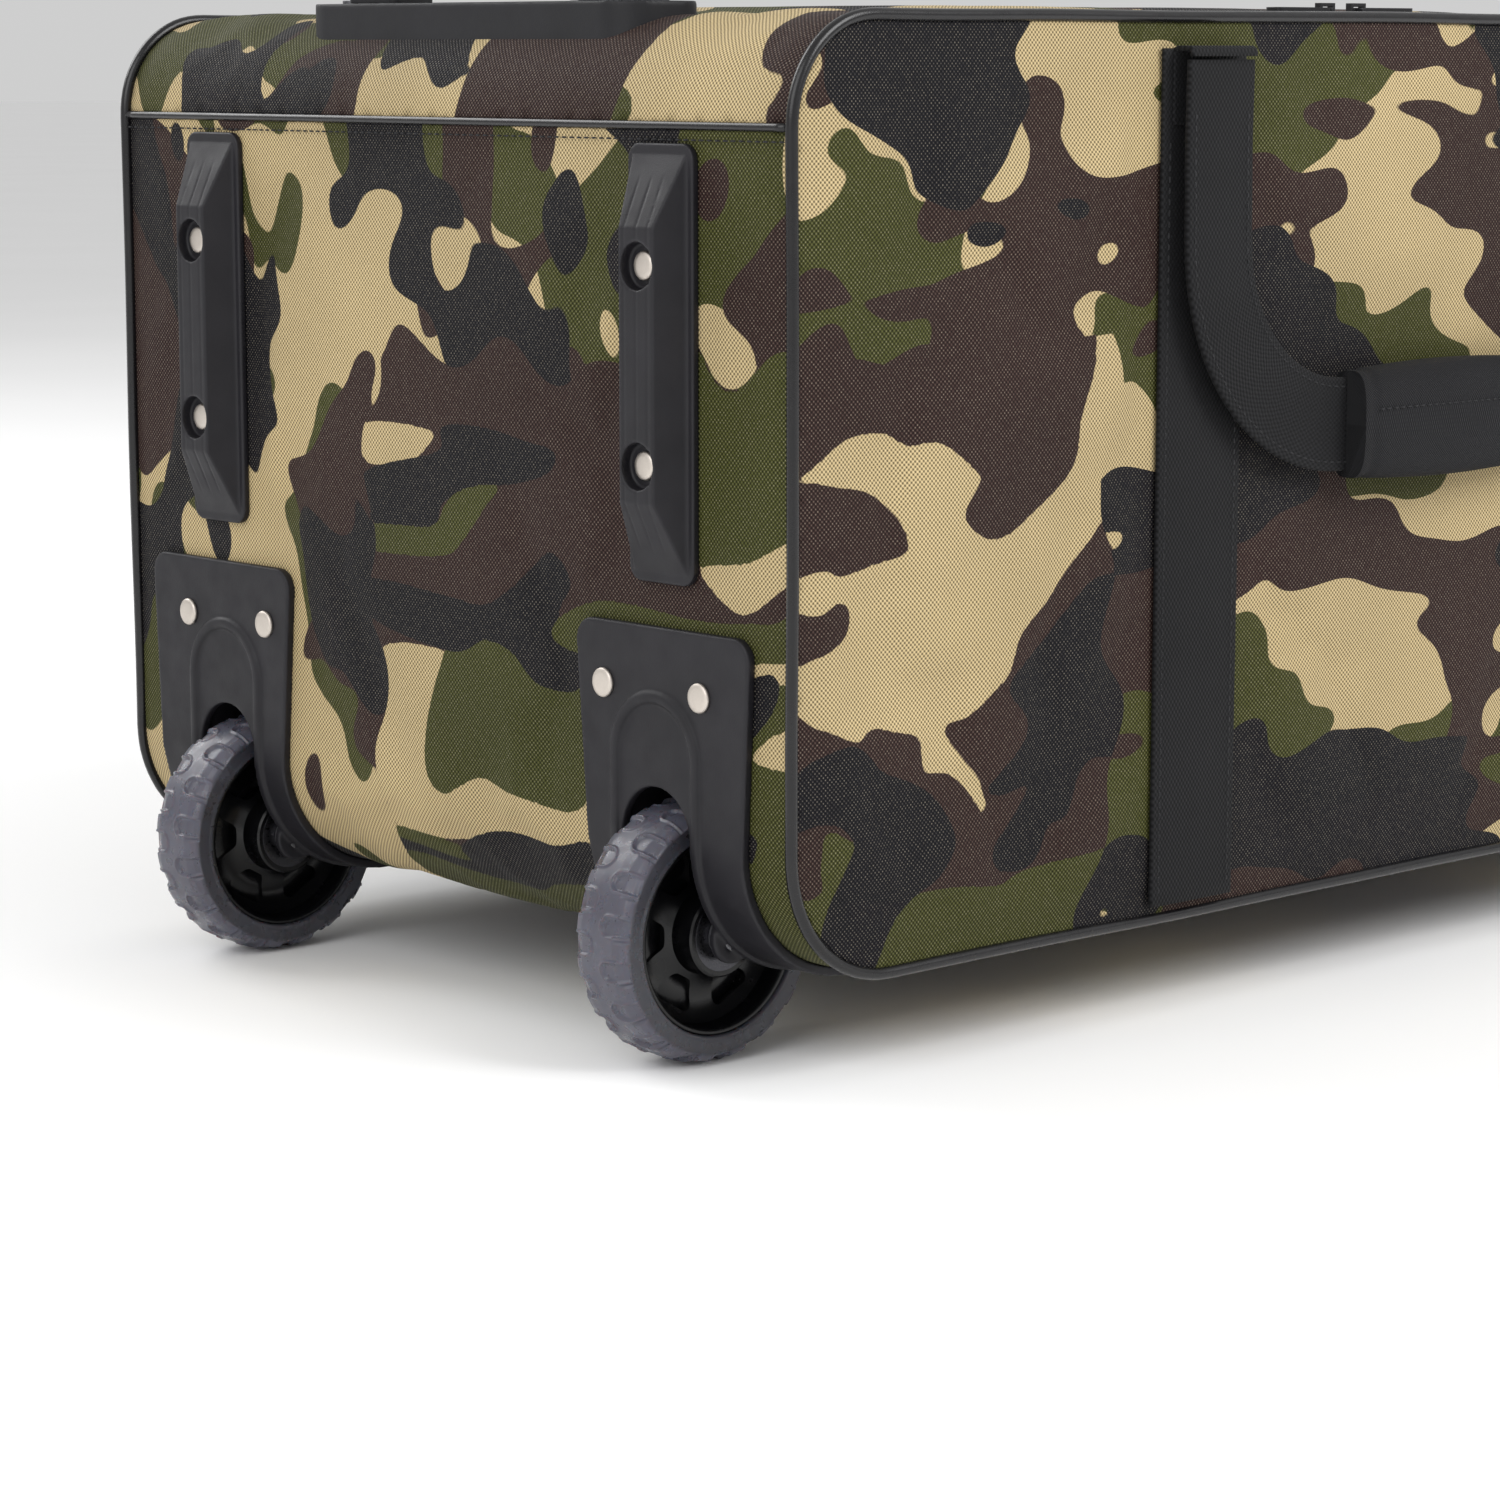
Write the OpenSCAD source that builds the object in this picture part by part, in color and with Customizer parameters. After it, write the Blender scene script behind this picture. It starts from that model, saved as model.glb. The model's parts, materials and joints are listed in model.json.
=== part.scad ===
// Rolling duffel bag, millimetres, +Z up.
// The long axis lies along X, with the wheels and the telescoping handle at the -X end.
// The origin is on the floor, under the middle of the whole object.

/* [Bag body] */
// Length of the body, end face to end face
bag_l = 560; // [540:5:600]
// Width of the body, side panel to side panel
bag_w = 332; // [316:2:340]
// Height of the body
bag_h = 280; // [275:5:320]
// Thickness of the padded fabric walls
wall = 4; // [3:0.5:4.5]
// Radius of the body's lower corners, seen from the side
low_r = 40; // [38:1:42]
// Radius of the body's upper corners, seen from the side
top_r = 32; // [30:1:34]
// Thickness of the edge piping across the seam
piping_t = 4.8; // [4.4:0.1:5.2]

/* [Wheels and feet] */
// Diameter of the wheels over the tread
wheel_d = 80; // [76:1:82]
// Width of the tyres
tyre_w = 24; // [20:1:25]
// Distance of the axle behind the end face
axle_in = 13; // [12:0.5:14]
// Distance between the two wheels' middle planes
track = 218; // [214:2:220]
// Height of the body's underside above the floor
lift = 31; // [30:0.5:32]
// Diameter of the axle pins
axle_d = 7.94; // [7.9:0.01:7.97]
// Bore of the wheel bearings
bearing_bore = 8; // [8:0.01:8.04]
// Place of the feet along the bag
foot_x = 195; // [180:1:198]

/* [Skid rails] */
// Width of a rail's flange
rail_w = 28.5; // [27:0.5:30]
// Height of a rail above the end face
rail_h = 12; // [10:0.5:14]
// Lower end of a rail above the floor
rail_z = 146; // [142:1:150]
// Length of a rail
rail_l = 128; // [116:1:128]

/* [Handle] */
// Distance between the two handle tubes
tube_gap = 110; // [104:2:120]
// Distance of the handle tubes behind the end face
tube_in = 29; // [28:0.5:30]
// Travel of the release button
button_travel = 3.5; // [2.5:0.5:3.5]

/* [Top opening] */
// Hinge side of the lid, from the middle of the bag
lid_hinge_y = 120; // [116:1:124]
// Width of the zip between the lid and the frame
zip_w = 22; // [20:1:24]
// Place of the two zip sliders' meeting point
slider_x = 18; // [0:1:30]

/* [Carry handles] */
// Half the distance between a handle's two legs
leg_x = 110; // [106:1:114]
// Width of the carry handle webbing
web_w = 30; // [26:1:32]
// Drop of a hanging handle below its fold
drop = 117; // [112:1:118]

/* [Hidden] */
$fn = 64;

// Main planes
end_x = -bag_l / 2;
far_x = bag_l / 2;
side_y = bag_w / 2;
in_y = side_y - wall;
top_z = lift + bag_h;
flat_z = top_z - top_r;
wheel_y = track / 2;
board_z = lift + wall;
board_t = 3;

// Wheel housing, in a frame at the end face and the wheel's middle plane
skin = 3;
plate_top = 133;
plate_in = 36;
plate_out = 41;
plate_narrow_in = 31;
plate_narrow_out = 38;
taper_z = 62;
plate_under = 66;
plate_r = 7;
slot_half = 15;
slot_top = 70;
cheek = 2.5;
cheek_y = slot_half + cheek;
well_r = 47;
rib_mid = 18;
rib_half = 1.5;
rib_top = 94;
rib_h = 1.2;
ear_r = 8;
well_reach = axle_in + well_r + cheek;
well_top = wheel_d / 2 + well_r + cheek;

// Rivets
rivet_mid = 1.5;
rivet_y = 21.5;
rivet_z = 114;
rivet_head = 9;
shank_d = 4;
rail_mid = -2.5;
rail_rivet_in = 35;
sink_d = 13.8;
sink_deep = 4;
sheet_t = 2;
tail_x = wall + sheet_t;

// Wheel
rim_r = 30.8;
boss_r = 13;
bearing_r = 11;
bearing_w = 7;
hub_half = 12.4;

// Handle tubes: outer size across (Y) and deep (X) of the fixed tube and the three stages
tube_x = end_x + tube_in;
tube_y = tube_gap / 2;
tube_size = [[24, 16], [21.4, 13.4], [19, 11], [16.6, 8.6]];
tube_wall = [1, 0.9, 0.9, 0.9];
tube_low = [46, 50, 54, 58];
bezel_top = top_z + 4;
bezel_low = top_z - 14;
bezel_half = 82;
bezel_d = 34;
ledge = 6;
collar_h = 5;
slip = 0.3;
grip_z = bezel_top + 20;
grip_h = 24;
grip_d = 28;
grip_half = 66;
socket_h = 6.5;
tunnel_z = grip_z + socket_h;
tunnel_h = 9;
bar_z = tunnel_z + 4.5;
bar_h = 5;
cover_in = 15;
cover_t = 2;
cover_gap = 2;
button_top = grip_z + grip_h + 2;

// Top opening
open_x0 = -205;
open_x1 = 240;
open_y0 = -125;
open_r = 40;
zip_slit = 0.6;
tape_t = 2;
tape_z = top_z - 3;
seam_y = open_y0 + zip_w / 2;
slider_z = tape_z + tape_t + slip;
slider_half_gap = 8;

// Carry handles
fold_y = side_y + 8;
fold_z = top_z - 11;
strap_t = 3;
sewn_t = 2;
sewn_w = 38;
bend_r = 60;

// Pocket on the back side panel
pocket_w = 300;
pocket_z0 = 52;
pocket_z1 = 152;
pocket_t = 10.5;
pocket_tape_t = 1.5;
pocket_zip_z = 138;
pocket_slider_y = side_y + pocket_t + pocket_tape_t + slip;
pocket_slider_x = -120;
slider_h = 5.6;
reach_y = pocket_slider_y + slider_h;

// Helpers

// Draws a side view, with X across and Z up, solid from y0 to y1
module along_y(y0, y1) {
  translate([0, y1, 0]) rotate([90, 0, 0]) linear_extrude(y1 - y0) children();
}

// Draws an end view, with Y across and Z up, solid from x0 to x1
module along_x(x0, x1) {
  translate([x0, 0, 0]) rotate([90, 0, 90]) linear_extrude(x1 - x0) children();
}

// Places a wheel's surroundings at the front side, or mirrored at the back side
module at_wheel(side) {
  mirror([0, side == "back" ? 1 : 0, 0]) translate([end_x, -wheel_y, 0]) children();
}

// A straight pin or hole along X, from x0 to x1
module pin_x(d, x0, x1) {
  translate([x0, 0, 0]) rotate([0, 90, 0]) cylinder(h = x1 - x0, d = d);
}

// A straight pin or hole along Y, centred
module pin_y(r, half) {
  rotate([90, 0, 0]) cylinder(h = 2 * half, r = r, center = true);
}

// A rectangle with round corners, centred
module rounded(w, d, r) {
  square([w - 2 * r, d], center = true);
  square([w, d - 2 * r], center = true);
  for (x = [-1, 1], y = [-1, 1])
    translate([x * (w / 2 - r), y * (d / 2 - r)]) circle(r);
}

// Side view of the body, drawn inset from its outer face
module body_outline(inset = 0) {
  a = bag_l / 2 - inset;
  low = low_r - inset;
  top = top_r - inset;
  z0 = lift + inset;
  z1 = top_z - inset;
  polygon([
    [-a, z0 + low], [low - a, z0], [a - low, z0], [a, z0 + low],
    [a, z1 - top], [a - top, z1], [top - a, z1], [-a, z1 - top]
  ]);
  for (s = [-1, 1]) {
    translate([s * (a - low), z0 + low]) circle(low);
    translate([s * (a - top), z1 - top]) circle(top);
  }
}

// The fabric wall that runs round the body between the side panels
module band() {
  along_y(-in_y, in_y) difference() {
    body_outline();
    body_outline(wall);
  }
}

// Bag body

module side_panel(side) {
  color("darkolivegreen") mirror([0, side == "back" ? 1 : 0, 0])
    along_y(-side_y, -in_y) body_outline(2);
}

module piping(side) {
  color("black") mirror([0, side == "back" ? 1 : 0, 0])
    along_y(-in_y - piping_t, -in_y) difference() {
      body_outline(-0.8);
      body_outline(2);
    }
}

// Holes of the rivets that pass through the end wall and its stiffener
module end_rivet_holes() {
  for (side = ["front", "back"]) at_wheel(side) {
    for (y = [-1, 1]) translate([0, rivet_mid + y * rivet_y, rivet_z]) pin_x(shank_d, -1, 20);
    for (z = [rail_rivet_in, rail_l - rail_rivet_in])
      translate([0, rail_mid, rail_z + z]) pin_x(shank_d, -1, 20);
  }
}

// Places the four foot screws
module at_foot_screws() {
  for (x = [-31, 31], y = [-wheel_y, wheel_y]) translate([foot_x + x, y, 0]) children();
}

module gusset() {
  color("olivedrab") difference() {
    band();
    translate([-bag_l, -bag_w, flat_z]) cube([2 * bag_l, 2 * bag_w, bag_h]);
    for (side = ["front", "back"]) at_wheel(side)
      translate([-1, -cheek_y, 0]) cube([well_reach + 1.5, 2 * cheek_y, well_top + 0.5]);
    end_rivet_holes();
    at_foot_screws() cylinder(h = board_z + 1, d = shank_d);
  }
}

// Plan of the top opening, drawn inset on its three zipped sides
module opening_plan(inset) {
  r = open_r - inset;
  x0 = open_x0 + inset;
  x1 = open_x1 - inset;
  y0 = open_y0 + inset;
  translate([x0, y0 + r]) square([x1 - x0, lid_hinge_y - y0 - r]);
  translate([x0 + r, y0]) square([x1 - x0 - 2 * r, r + 1]);
  for (x = [x0 + r, x1 - r]) translate([x, y0 + r]) circle(r);
}

module top_panel() {
  color("olivedrab") difference() {
    band();
    translate([-bag_l, -bag_w, 0]) cube([2 * bag_l, 2 * bag_w, flat_z]);
    translate([0, 0, top_z - wall - 1]) linear_extrude(wall + 2) opening_plan(0);
    translate([tube_x, 0, bezel_low - 1]) linear_extrude(20) rounded(bezel_d, 2 * bezel_half, 14);
  }
}

module lid_panel() {
  color("darkkhaki") difference() {
    translate([0, 0, top_z - wall]) linear_extrude(wall) opening_plan(zip_w);
    translate([-bag_l, lid_hinge_y - slip, 0]) cube([2 * bag_l, 10, 2 * bag_h]);
  }
}

module zip_half(from, to) {
  color("dimgray") difference() {
    translate([0, 0, tape_z]) linear_extrude(tape_t) difference() {
      opening_plan(from);
      opening_plan(to);
    }
    translate([-bag_l, lid_hinge_y - slip, 0]) cube([2 * bag_l, 10, 2 * bag_h]);
  }
}

module base_board() {
  x0 = end_x + well_reach + 4;
  color("saddlebrown") difference() {
    translate([x0, -in_y + 4, board_z]) cube([far_x - low_r - 2 - x0, 2 * in_y - 8, board_t]);
    at_foot_screws() cylinder(h = 2 * board_z, d = shank_d);
  }
}

module end_stiffener() {
  z0 = well_top + 2;
  color("gray") difference() {
    translate([end_x + wall, -in_y + 4, z0]) cube([sheet_t, 2 * in_y - 8, flat_z - 2 - z0]);
    end_rivet_holes();
  }
}

module handle_cover() {
  z0 = well_top + 2;
  color("dimgray") translate([tube_x + cover_in, -in_y + cover_gap, z0])
    cube([cover_t, 2 * (in_y - cover_gap), bezel_low - 1 - z0]);
}

// Zip sliders and their pulls, with the seam along X and the tape's top at z = 0

module slider_body(turn = 0) {
  translate([0, 0, 1.1]) linear_extrude(2.2, center = true) rounded(14, 10, 3);
  rotate([0, 0, turn]) {
    for (x = [-3.2, 3.2]) translate([x - 0.6, -1.2, 2]) cube([1.2, 2.4, 2.6]);
    translate([-3.8, -1.2, slider_h - 1.2]) cube([7.6, 2.4, 1.2]);
  }
}

module pull_tab() {
  translate([0, 0, 3.3]) {
    rotate([90, 0, 0]) cylinder(h = 7, r = 0.8, center = true);
    translate([0, 0, -0.8]) linear_extrude(1.6) difference() {
      translate([13.5, 0]) rounded(27, 7, 2);
      translate([2.9, 0]) square([5.8, 4], center = true);
      translate([22, 0]) circle(1.8);
    }
  }
}

module at_slider(side) {
  s = side == "left" ? -1 : 1;
  translate([slider_x + s * slider_half_gap, seam_y, slider_z]) children();
}

module zip_slider(side) {
  color("silver") at_slider(side) slider_body();
}

module zip_pull(side) {
  color("silver") at_slider(side) rotate([0, 0, side == "left" ? 180 : 0]) pull_tab();
}

// Wheel end

// Side view of the bag's lower corner, grown outwards by off
module corner_section(off) {
  translate([low_r, lift + low_r]) circle(low_r + off);
  translate([-off, lift + low_r]) square([bag_l / 4, bag_h]);
  translate([low_r, lift - off]) square([bag_l / 4, bag_h]);
}

module plate_face() {
  polygon([
    [plate_narrow_in, 0], [plate_narrow_in, taper_z],
    [plate_in, plate_top - plate_r], [plate_in - plate_r, plate_top],
    [plate_r - plate_out, plate_top], [-plate_out, plate_top - plate_r],
    [-plate_narrow_out, taper_z], [-plate_narrow_out, 0]
  ]);
  for (y = [plate_in - plate_r, plate_r - plate_out])
    translate([y, plate_top - plate_r]) circle(plate_r);
}

module slot_face(half, top) {
  translate([-half, 0]) square([2 * half, top]);
  translate([0, top]) circle(half);
}

module wheel_housing(side) {
  color([0.12, 0.12, 0.13]) at_wheel(side) difference() {
    union() {
      // Plate that wraps the corner, open for the wheel
      difference() {
        intersection() {
          along_y(-60, 60) difference() {
            intersection() {
              corner_section(skin);
              translate([-skin, 0]) square([plate_under + skin, plate_top]);
            }
            corner_section(0);
          }
          along_x(-10, plate_under + 10) plate_face();
        }
        along_x(-10, plate_under - 6) slot_face(slot_half, slot_top);
      }
      // Raised rib round the wheel opening
      intersection() {
        along_y(-30, 30) difference() {
          corner_section(skin + rib_h);
          corner_section(skin - 0.2);
        }
        along_x(-10, plate_under - 6) difference() {
          slot_face(rib_mid + rib_half, rib_top);
          slot_face(rib_mid - rib_half, rib_top);
        }
      }
      // Curved back wall of the wheel well
      along_y(-cheek_y, cheek_y) intersection() {
        corner_section(0.5);
        translate([axle_in, wheel_d / 2]) difference() {
          circle(well_r + cheek);
          circle(well_r);
        }
      }
      // Side walls of the well, with an ear round the axle
      for (s = [-1, 1]) translate([0, s * (slot_half + cheek / 2), 0]) along_y(-cheek / 2, cheek / 2) {
        intersection() {
          corner_section(skin);
          translate([axle_in, wheel_d / 2]) circle(well_r + cheek);
        }
        translate([axle_in, wheel_d / 2]) circle(ear_r);
      }
    }
    translate([axle_in, 0, wheel_d / 2]) pin_y(bearing_bore / 2, cheek_y);
    for (y = [-1, 1]) translate([0, rivet_mid + y * rivet_y, rivet_z]) pin_x(shank_d, -20, 20);
  }
}

// A rivet along X with its head's underside at x = 0 and its tail clenched at x = grip
module rivet(head_d, grip_len) {
  pin_x(head_d, -0.8, 0);
  pin_x(head_d - 1.4, -1.4, -0.7);
  pin_x(shank_d, -0.5, grip_len);
  pin_x(shank_d + 3, grip_len, grip_len + 1);
}

module housing_rivets() {
  color([0.8, 0.78, 0.74]) for (side = ["front", "back"], y = [-1, 1])
    at_wheel(side) translate([-skin, rivet_mid + y * rivet_y, rivet_z]) rivet(rivet_head, skin + tail_x);
}

module at_axle(side) {
  at_wheel(side) translate([axle_in, 0, wheel_d / 2]) children();
}

module axle(side) {
  color("silver") at_axle(side) pin_y(axle_d / 2, cheek_y);
}

module axle_washers() {
  color("silver") for (side = ["front", "back"], s = [-1, 1])
    at_axle(side) translate([0, s * (hub_half + slot_half) / 2, 0]) difference() {
      pin_y(6.2, (slot_half - hub_half) / 2 - 0.2);
      pin_y(bearing_bore / 2 + 0.05, slot_half);
    }
}

module tyre(side) {
  r = wheel_d / 2;
  h = tyre_w / 2;
  color([0.45, 0.48, 0.6]) at_axle(side) rotate([90, 0, 0]) rotate_extrude() polygon([
    [rim_r, 1 - h], [rim_r, h - 1], [rim_r + 2, h], [r - 3, h],
    [r - 1, h - 1.5], [r, h - 4], [r, 4 - h], [r - 1, 1.5 - h], [r - 3, -h], [rim_r + 2, -h]
  ]);
}

module hub(side) {
  pockets = 6;
  pocket_r = 5.2;
  pocket_at = (boss_r + rim_r - 3.4) / 2;
  web = 2;
  disc_half = 3;
  pocket_deep = disc_half - web / 2;
  over = 0.2;
  color([0.1, 0.1, 0.1]) at_axle(side) rotate([90, 0, 0]) difference() {
    rotate_extrude() polygon([
      [7.5, -5.4], [bearing_r, -5.4], [bearing_r, -hub_half], [boss_r, -hub_half], [boss_r, -disc_half],
      [rim_r - 3.4, -disc_half], [rim_r - 2.2, -10], [rim_r, -10], [rim_r, 10], [rim_r - 2.2, 10],
      [rim_r - 3.4, disc_half], [boss_r, disc_half], [boss_r, hub_half], [bearing_r, hub_half],
      [bearing_r, 5.4], [7.5, 5.4]
    ]);
    // Blind pockets between the spokes, on both faces of the web
    for (a = [0:pockets - 1], s = [-1, 1]) rotate([0, 0, a * 360 / pockets])
      translate([pocket_at, 0, s * (web + pocket_deep + over) / 2])
        cylinder(h = pocket_deep + over, r = pocket_r, center = true);
  }
}

module bearings(side) {
  color("silver") at_axle(side) for (s = [-1, 1])
    translate([0, s * (hub_half - bearing_w / 2), 0]) difference() {
      pin_y(bearing_r, bearing_w / 2);
      pin_y(bearing_bore / 2, bearing_w);
    }
}

module bearing_spacer(side) {
  color("gray") at_axle(side) difference() {
    pin_y(5.5, hub_half - bearing_w);
    pin_y(bearing_bore / 2 + 0.05, hub_half);
  }
}

// Skid rails, in the wheel housing's frame

module skid_rail(side) {
  flange = 2.5;
  wall_y = 11.8;
  crown = 7.5;
  ramp = 24;
  color([0.12, 0.12, 0.13]) at_wheel(side) translate([0, rail_mid, rail_z]) difference() {
    union() {
      along_x(-flange, 0) translate([0, rail_l / 2]) rounded(rail_w, rail_l, 5);
      intersection() {
        linear_extrude(rail_l) polygon([
          [-0.5, -wall_y], [-flange, -wall_y], [-rail_h, -crown],
          [-rail_h, crown], [-flange, wall_y], [-0.5, wall_y]
        ]);
        along_y(-rail_w, rail_w) polygon([
          [-0.5, 3], [-flange, 3], [-rail_h, ramp],
          [-rail_h, rail_l - ramp], [-flange, rail_l - 3], [-0.5, rail_l - 3]
        ]);
      }
    }
    // Three grooves along the crown, carried down both ramps
    for (y = [-5.2, 0, 5.2]) translate([0, y, 0]) along_y(-0.4, 0.4) polygon([
      [-rail_h - 1, 0], [-flange, 2], [1 - rail_h, ramp], [1 - rail_h, rail_l - ramp],
      [-flange, rail_l - 2], [-rail_h - 1, rail_l]
    ]);
    for (z = [rail_rivet_in, rail_l - rail_rivet_in]) translate([0, 0, z]) {
      pin_x(sink_d, -rail_h - 1, sink_deep - rail_h);
      pin_x(shank_d, -20, 1);
    }
  }
}

module rail_rivets() {
  color([0.8, 0.78, 0.74]) for (side = ["front", "back"], z = [rail_rivet_in, rail_l - rail_rivet_in])
    at_wheel(side) translate([sink_deep - rail_h, rail_mid, rail_z + z])
      rivet(rivet_head - 0.4, rail_h - sink_deep + tail_x);
}

// Feet

module foot(side) {
  y = side == "back" ? wheel_y : -wheel_y;
  color([0.12, 0.12, 0.13]) translate([foot_x, y, 0]) difference() {
    union() {
      linear_extrude(lift) rounded(48, 28, 9);
      translate([0, 0, lift - 3]) linear_extrude(3) rounded(76, 34, 12);
    }
    for (x = [-31, 31]) translate([x, 0, 0]) cylinder(h = lift + 1, d = shank_d);
  }
}

module foot_screws() {
  color("silver") at_foot_screws() {
    translate([0, 0, lift - 3]) cylinder(h = wall + board_t + 3, d = shank_d);
    translate([0, 0, lift - 5]) cylinder(h = 2, d = 8);
  }
}

// Telescoping handle

module at_tubes() {
  for (s = [-1, 1]) translate([tube_x, s * tube_y, 0]) children();
}

module tube_plan(i, grow = 0) {
  rounded(tube_size[i][1] + 2 * grow, tube_size[i][0] + 2 * grow, 3);
}

module tube_pair(i, z1) {
  at_tubes() translate([0, 0, tube_low[i]]) linear_extrude(z1 - tube_low[i]) difference() {
    tube_plan(i);
    rounded(tube_size[i][1] - 2 * tube_wall[i], tube_size[i][0] - 2 * tube_wall[i], 2);
  }
}

module handle_bezel() {
  color([0.1, 0.1, 0.1]) difference() {
    translate([tube_x, 0, bezel_low]) linear_extrude(bezel_top - bezel_low)
      rounded(bezel_d, 2 * bezel_half, 14);
    at_tubes() {
      translate([0, 0, bezel_low - 1]) linear_extrude(bezel_top - bezel_low + 1 - ledge) tube_plan(0);
      translate([0, 0, bezel_low]) linear_extrude(40) tube_plan(1, slip);
    }
    for (s = [-1, 1]) translate([tube_x, s * (bezel_half - 7), 0]) cylinder(h = 2 * bezel_top, d = 3);
  }
}

module bezel_screws() {
  color("dimgray") for (s = [-1, 1]) translate([tube_x, s * (bezel_half - 7), 0]) {
    translate([0, 0, bezel_top]) cylinder(h = 1.2, d = 7);
    translate([0, 0, bezel_low]) cylinder(h = bezel_top - bezel_low + 0.5, d = 3);
  }
}

module tube_shoes() {
  color([0.1, 0.1, 0.1]) at_tubes() difference() {
    translate([0, 0, tube_low[0] - 4]) linear_extrude(16) rounded(20, 32, 3);
    translate([0, 0, tube_low[0]]) linear_extrude(20) tube_plan(0);
  }
}

module outer_tubes() {
  color("silver") tube_pair(0, bezel_top - ledge);
}

// Top of stage i's tubes, level with the top of its collar
function stage_top(i) = bezel_top + i * (collar_h + slip);

module stage_tubes(i) {
  color("silver") tube_pair(i, stage_top(i));
}

module stage_collars(i) {
  color([0.1, 0.1, 0.1]) at_tubes() translate([0, 0, stage_top(i) - collar_h])
    linear_extrude(collar_h) difference() {
      tube_plan(i, 1.8);
      tube_plan(i);
    }
}

module stage_3_tubes() {
  color("silver") tube_pair(3, grip_z + socket_h);
}

module grip() {
  color([0.1, 0.1, 0.1]) difference() {
    translate([tube_x, 0, grip_z + grip_h / 2]) rotate([90, 0, 0])
      linear_extrude(2 * grip_half, center = true) rounded(grip_d, grip_h, 9);
    at_tubes() translate([0, 0, grip_z - 1]) linear_extrude(socket_h + 1) tube_plan(3);
    translate([tube_x - 3.5, -tube_y - 6, tunnel_z]) cube([7, 2 * tube_y + 12, tunnel_h + 0.6]);
    translate([tube_x, 0, tunnel_z + 5]) linear_extrude(grip_h) rounded(14.8, 32.8, 4);
  }
}

module release_button() {
  color([0.35, 0.35, 0.36]) {
    translate([tube_x, 0, bar_z + bar_h]) linear_extrude(button_top - bar_z - bar_h) rounded(14, 32, 3.6);
    translate([tube_x - 2.5, -tube_y - 4, bar_z]) cube([5, 2 * tube_y + 8, bar_h]);
  }
}

module push_rods() {
  color("silver") at_tubes() translate([0, 0, tube_low[3] + 6 + button_travel])
    cylinder(h = bar_z - tube_low[3] - 6 - button_travel, d = 4);
}

// Webbing and carry handles, drawn on the front side and mirrored for the back

module on_side(side) {
  mirror([0, side == "back" ? 1 : 0, 0]) children();
}

// Sewn straps, each with the folded end that its handle leg hangs from
module webbing(side) {
  color([0.08, 0.08, 0.08]) on_side(side) for (s = [-1, 1]) translate([s * leg_x, 0, 0]) {
    w = side == "back" ? web_w : sewn_w;
    z0 = side == "back" ? pocket_z1 + 4 : lift + 5;
    translate([-w / 2, -side_y - sewn_t, z0]) cube([w, sewn_t, fold_z + 2 - z0]);
    translate([-web_w / 2, -fold_y, fold_z - 2]) cube([web_w, fold_y - side_y - sewn_t / 2, 4]);
    translate([-web_w / 2, -fold_y, fold_z]) rotate([0, 90, 0]) cylinder(h = web_w, r = 2);
  }
}

// Side view of a hanging loop, grown by off each way across the webbing
module loop_face(off) {
  half = web_w / 2 + off;
  low_z = fold_z - drop;
  bend_z = low_z + bend_r;
  for (s = [-1, 1]) {
    translate([s * leg_x - half, bend_z]) square([2 * half, fold_z - 2.4 - bend_z]);
    intersection() {
      translate([s * (leg_x - bend_r), bend_z]) difference() {
        circle(bend_r + half);
        circle(bend_r - half);
      }
      translate([s > 0 ? leg_x - bend_r : -leg_x - bend_r, low_z - 2 * half])
        square([2 * bend_r, bend_r + 2 * half]);
    }
  }
  translate([bend_r - leg_x, low_z - half]) square([2 * (leg_x - bend_r), 2 * half]);
}

module carry_handle(side) {
  color([0.08, 0.08, 0.08]) on_side(side)
    along_y(-fold_y - strap_t / 2, strap_t / 2 - fold_y) loop_face(0);
}

module handle_wrap() {
  low_z = fold_z - drop;
  wrap_half = leg_x - bend_r - 2;
  color([0.15, 0.15, 0.15]) difference() {
    translate([0, -(reach_y + side_y + 2) / 2, low_z]) rotate([90, 0, 90])
      linear_extrude(2 * wrap_half, center = true) rounded(reach_y - side_y - 2, web_w + 8, 6);
    along_y(-fold_y - strap_t / 2, strap_t / 2 - fold_y) loop_face(0);
  }
}

// Fixed grab strap on the far end
module grab_strap() {
  proud = wheel_d / 2 - axle_in;
  color([0.08, 0.08, 0.08]) translate([far_x, 0, 185]) linear_extrude(30) polygon([
    [0, -95], [3, -95], [3, -66], [proud, -38], [proud, 38], [3, 66], [3, 95],
    [0, 95], [0, 66], [proud - 3, 36.5], [proud - 3, -36.5], [0, -66]
  ]);
}

// Pocket

module pocket_panel() {
  h = pocket_z1 - pocket_z0;
  color("darkolivegreen") along_y(side_y, side_y + pocket_t)
    translate([0, pocket_z0 + h / 2]) rounded(pocket_w, h, 14);
}

module pocket_zip() {
  color("dimgray") translate([-pocket_w / 2 + 10, side_y + pocket_t, pocket_zip_z - 5])
    cube([pocket_w - 20, pocket_tape_t, 10]);
}

module at_pocket_slider() {
  translate([pocket_slider_x, pocket_slider_y, pocket_zip_z]) rotate([-90, 0, 0]) children();
}

module pocket_slider() {
  color("silver") at_pocket_slider() slider_body(90);
}

module pocket_pull() {
  color("silver") at_pocket_slider() rotate([0, 0, 90]) pull_tab();
}

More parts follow.
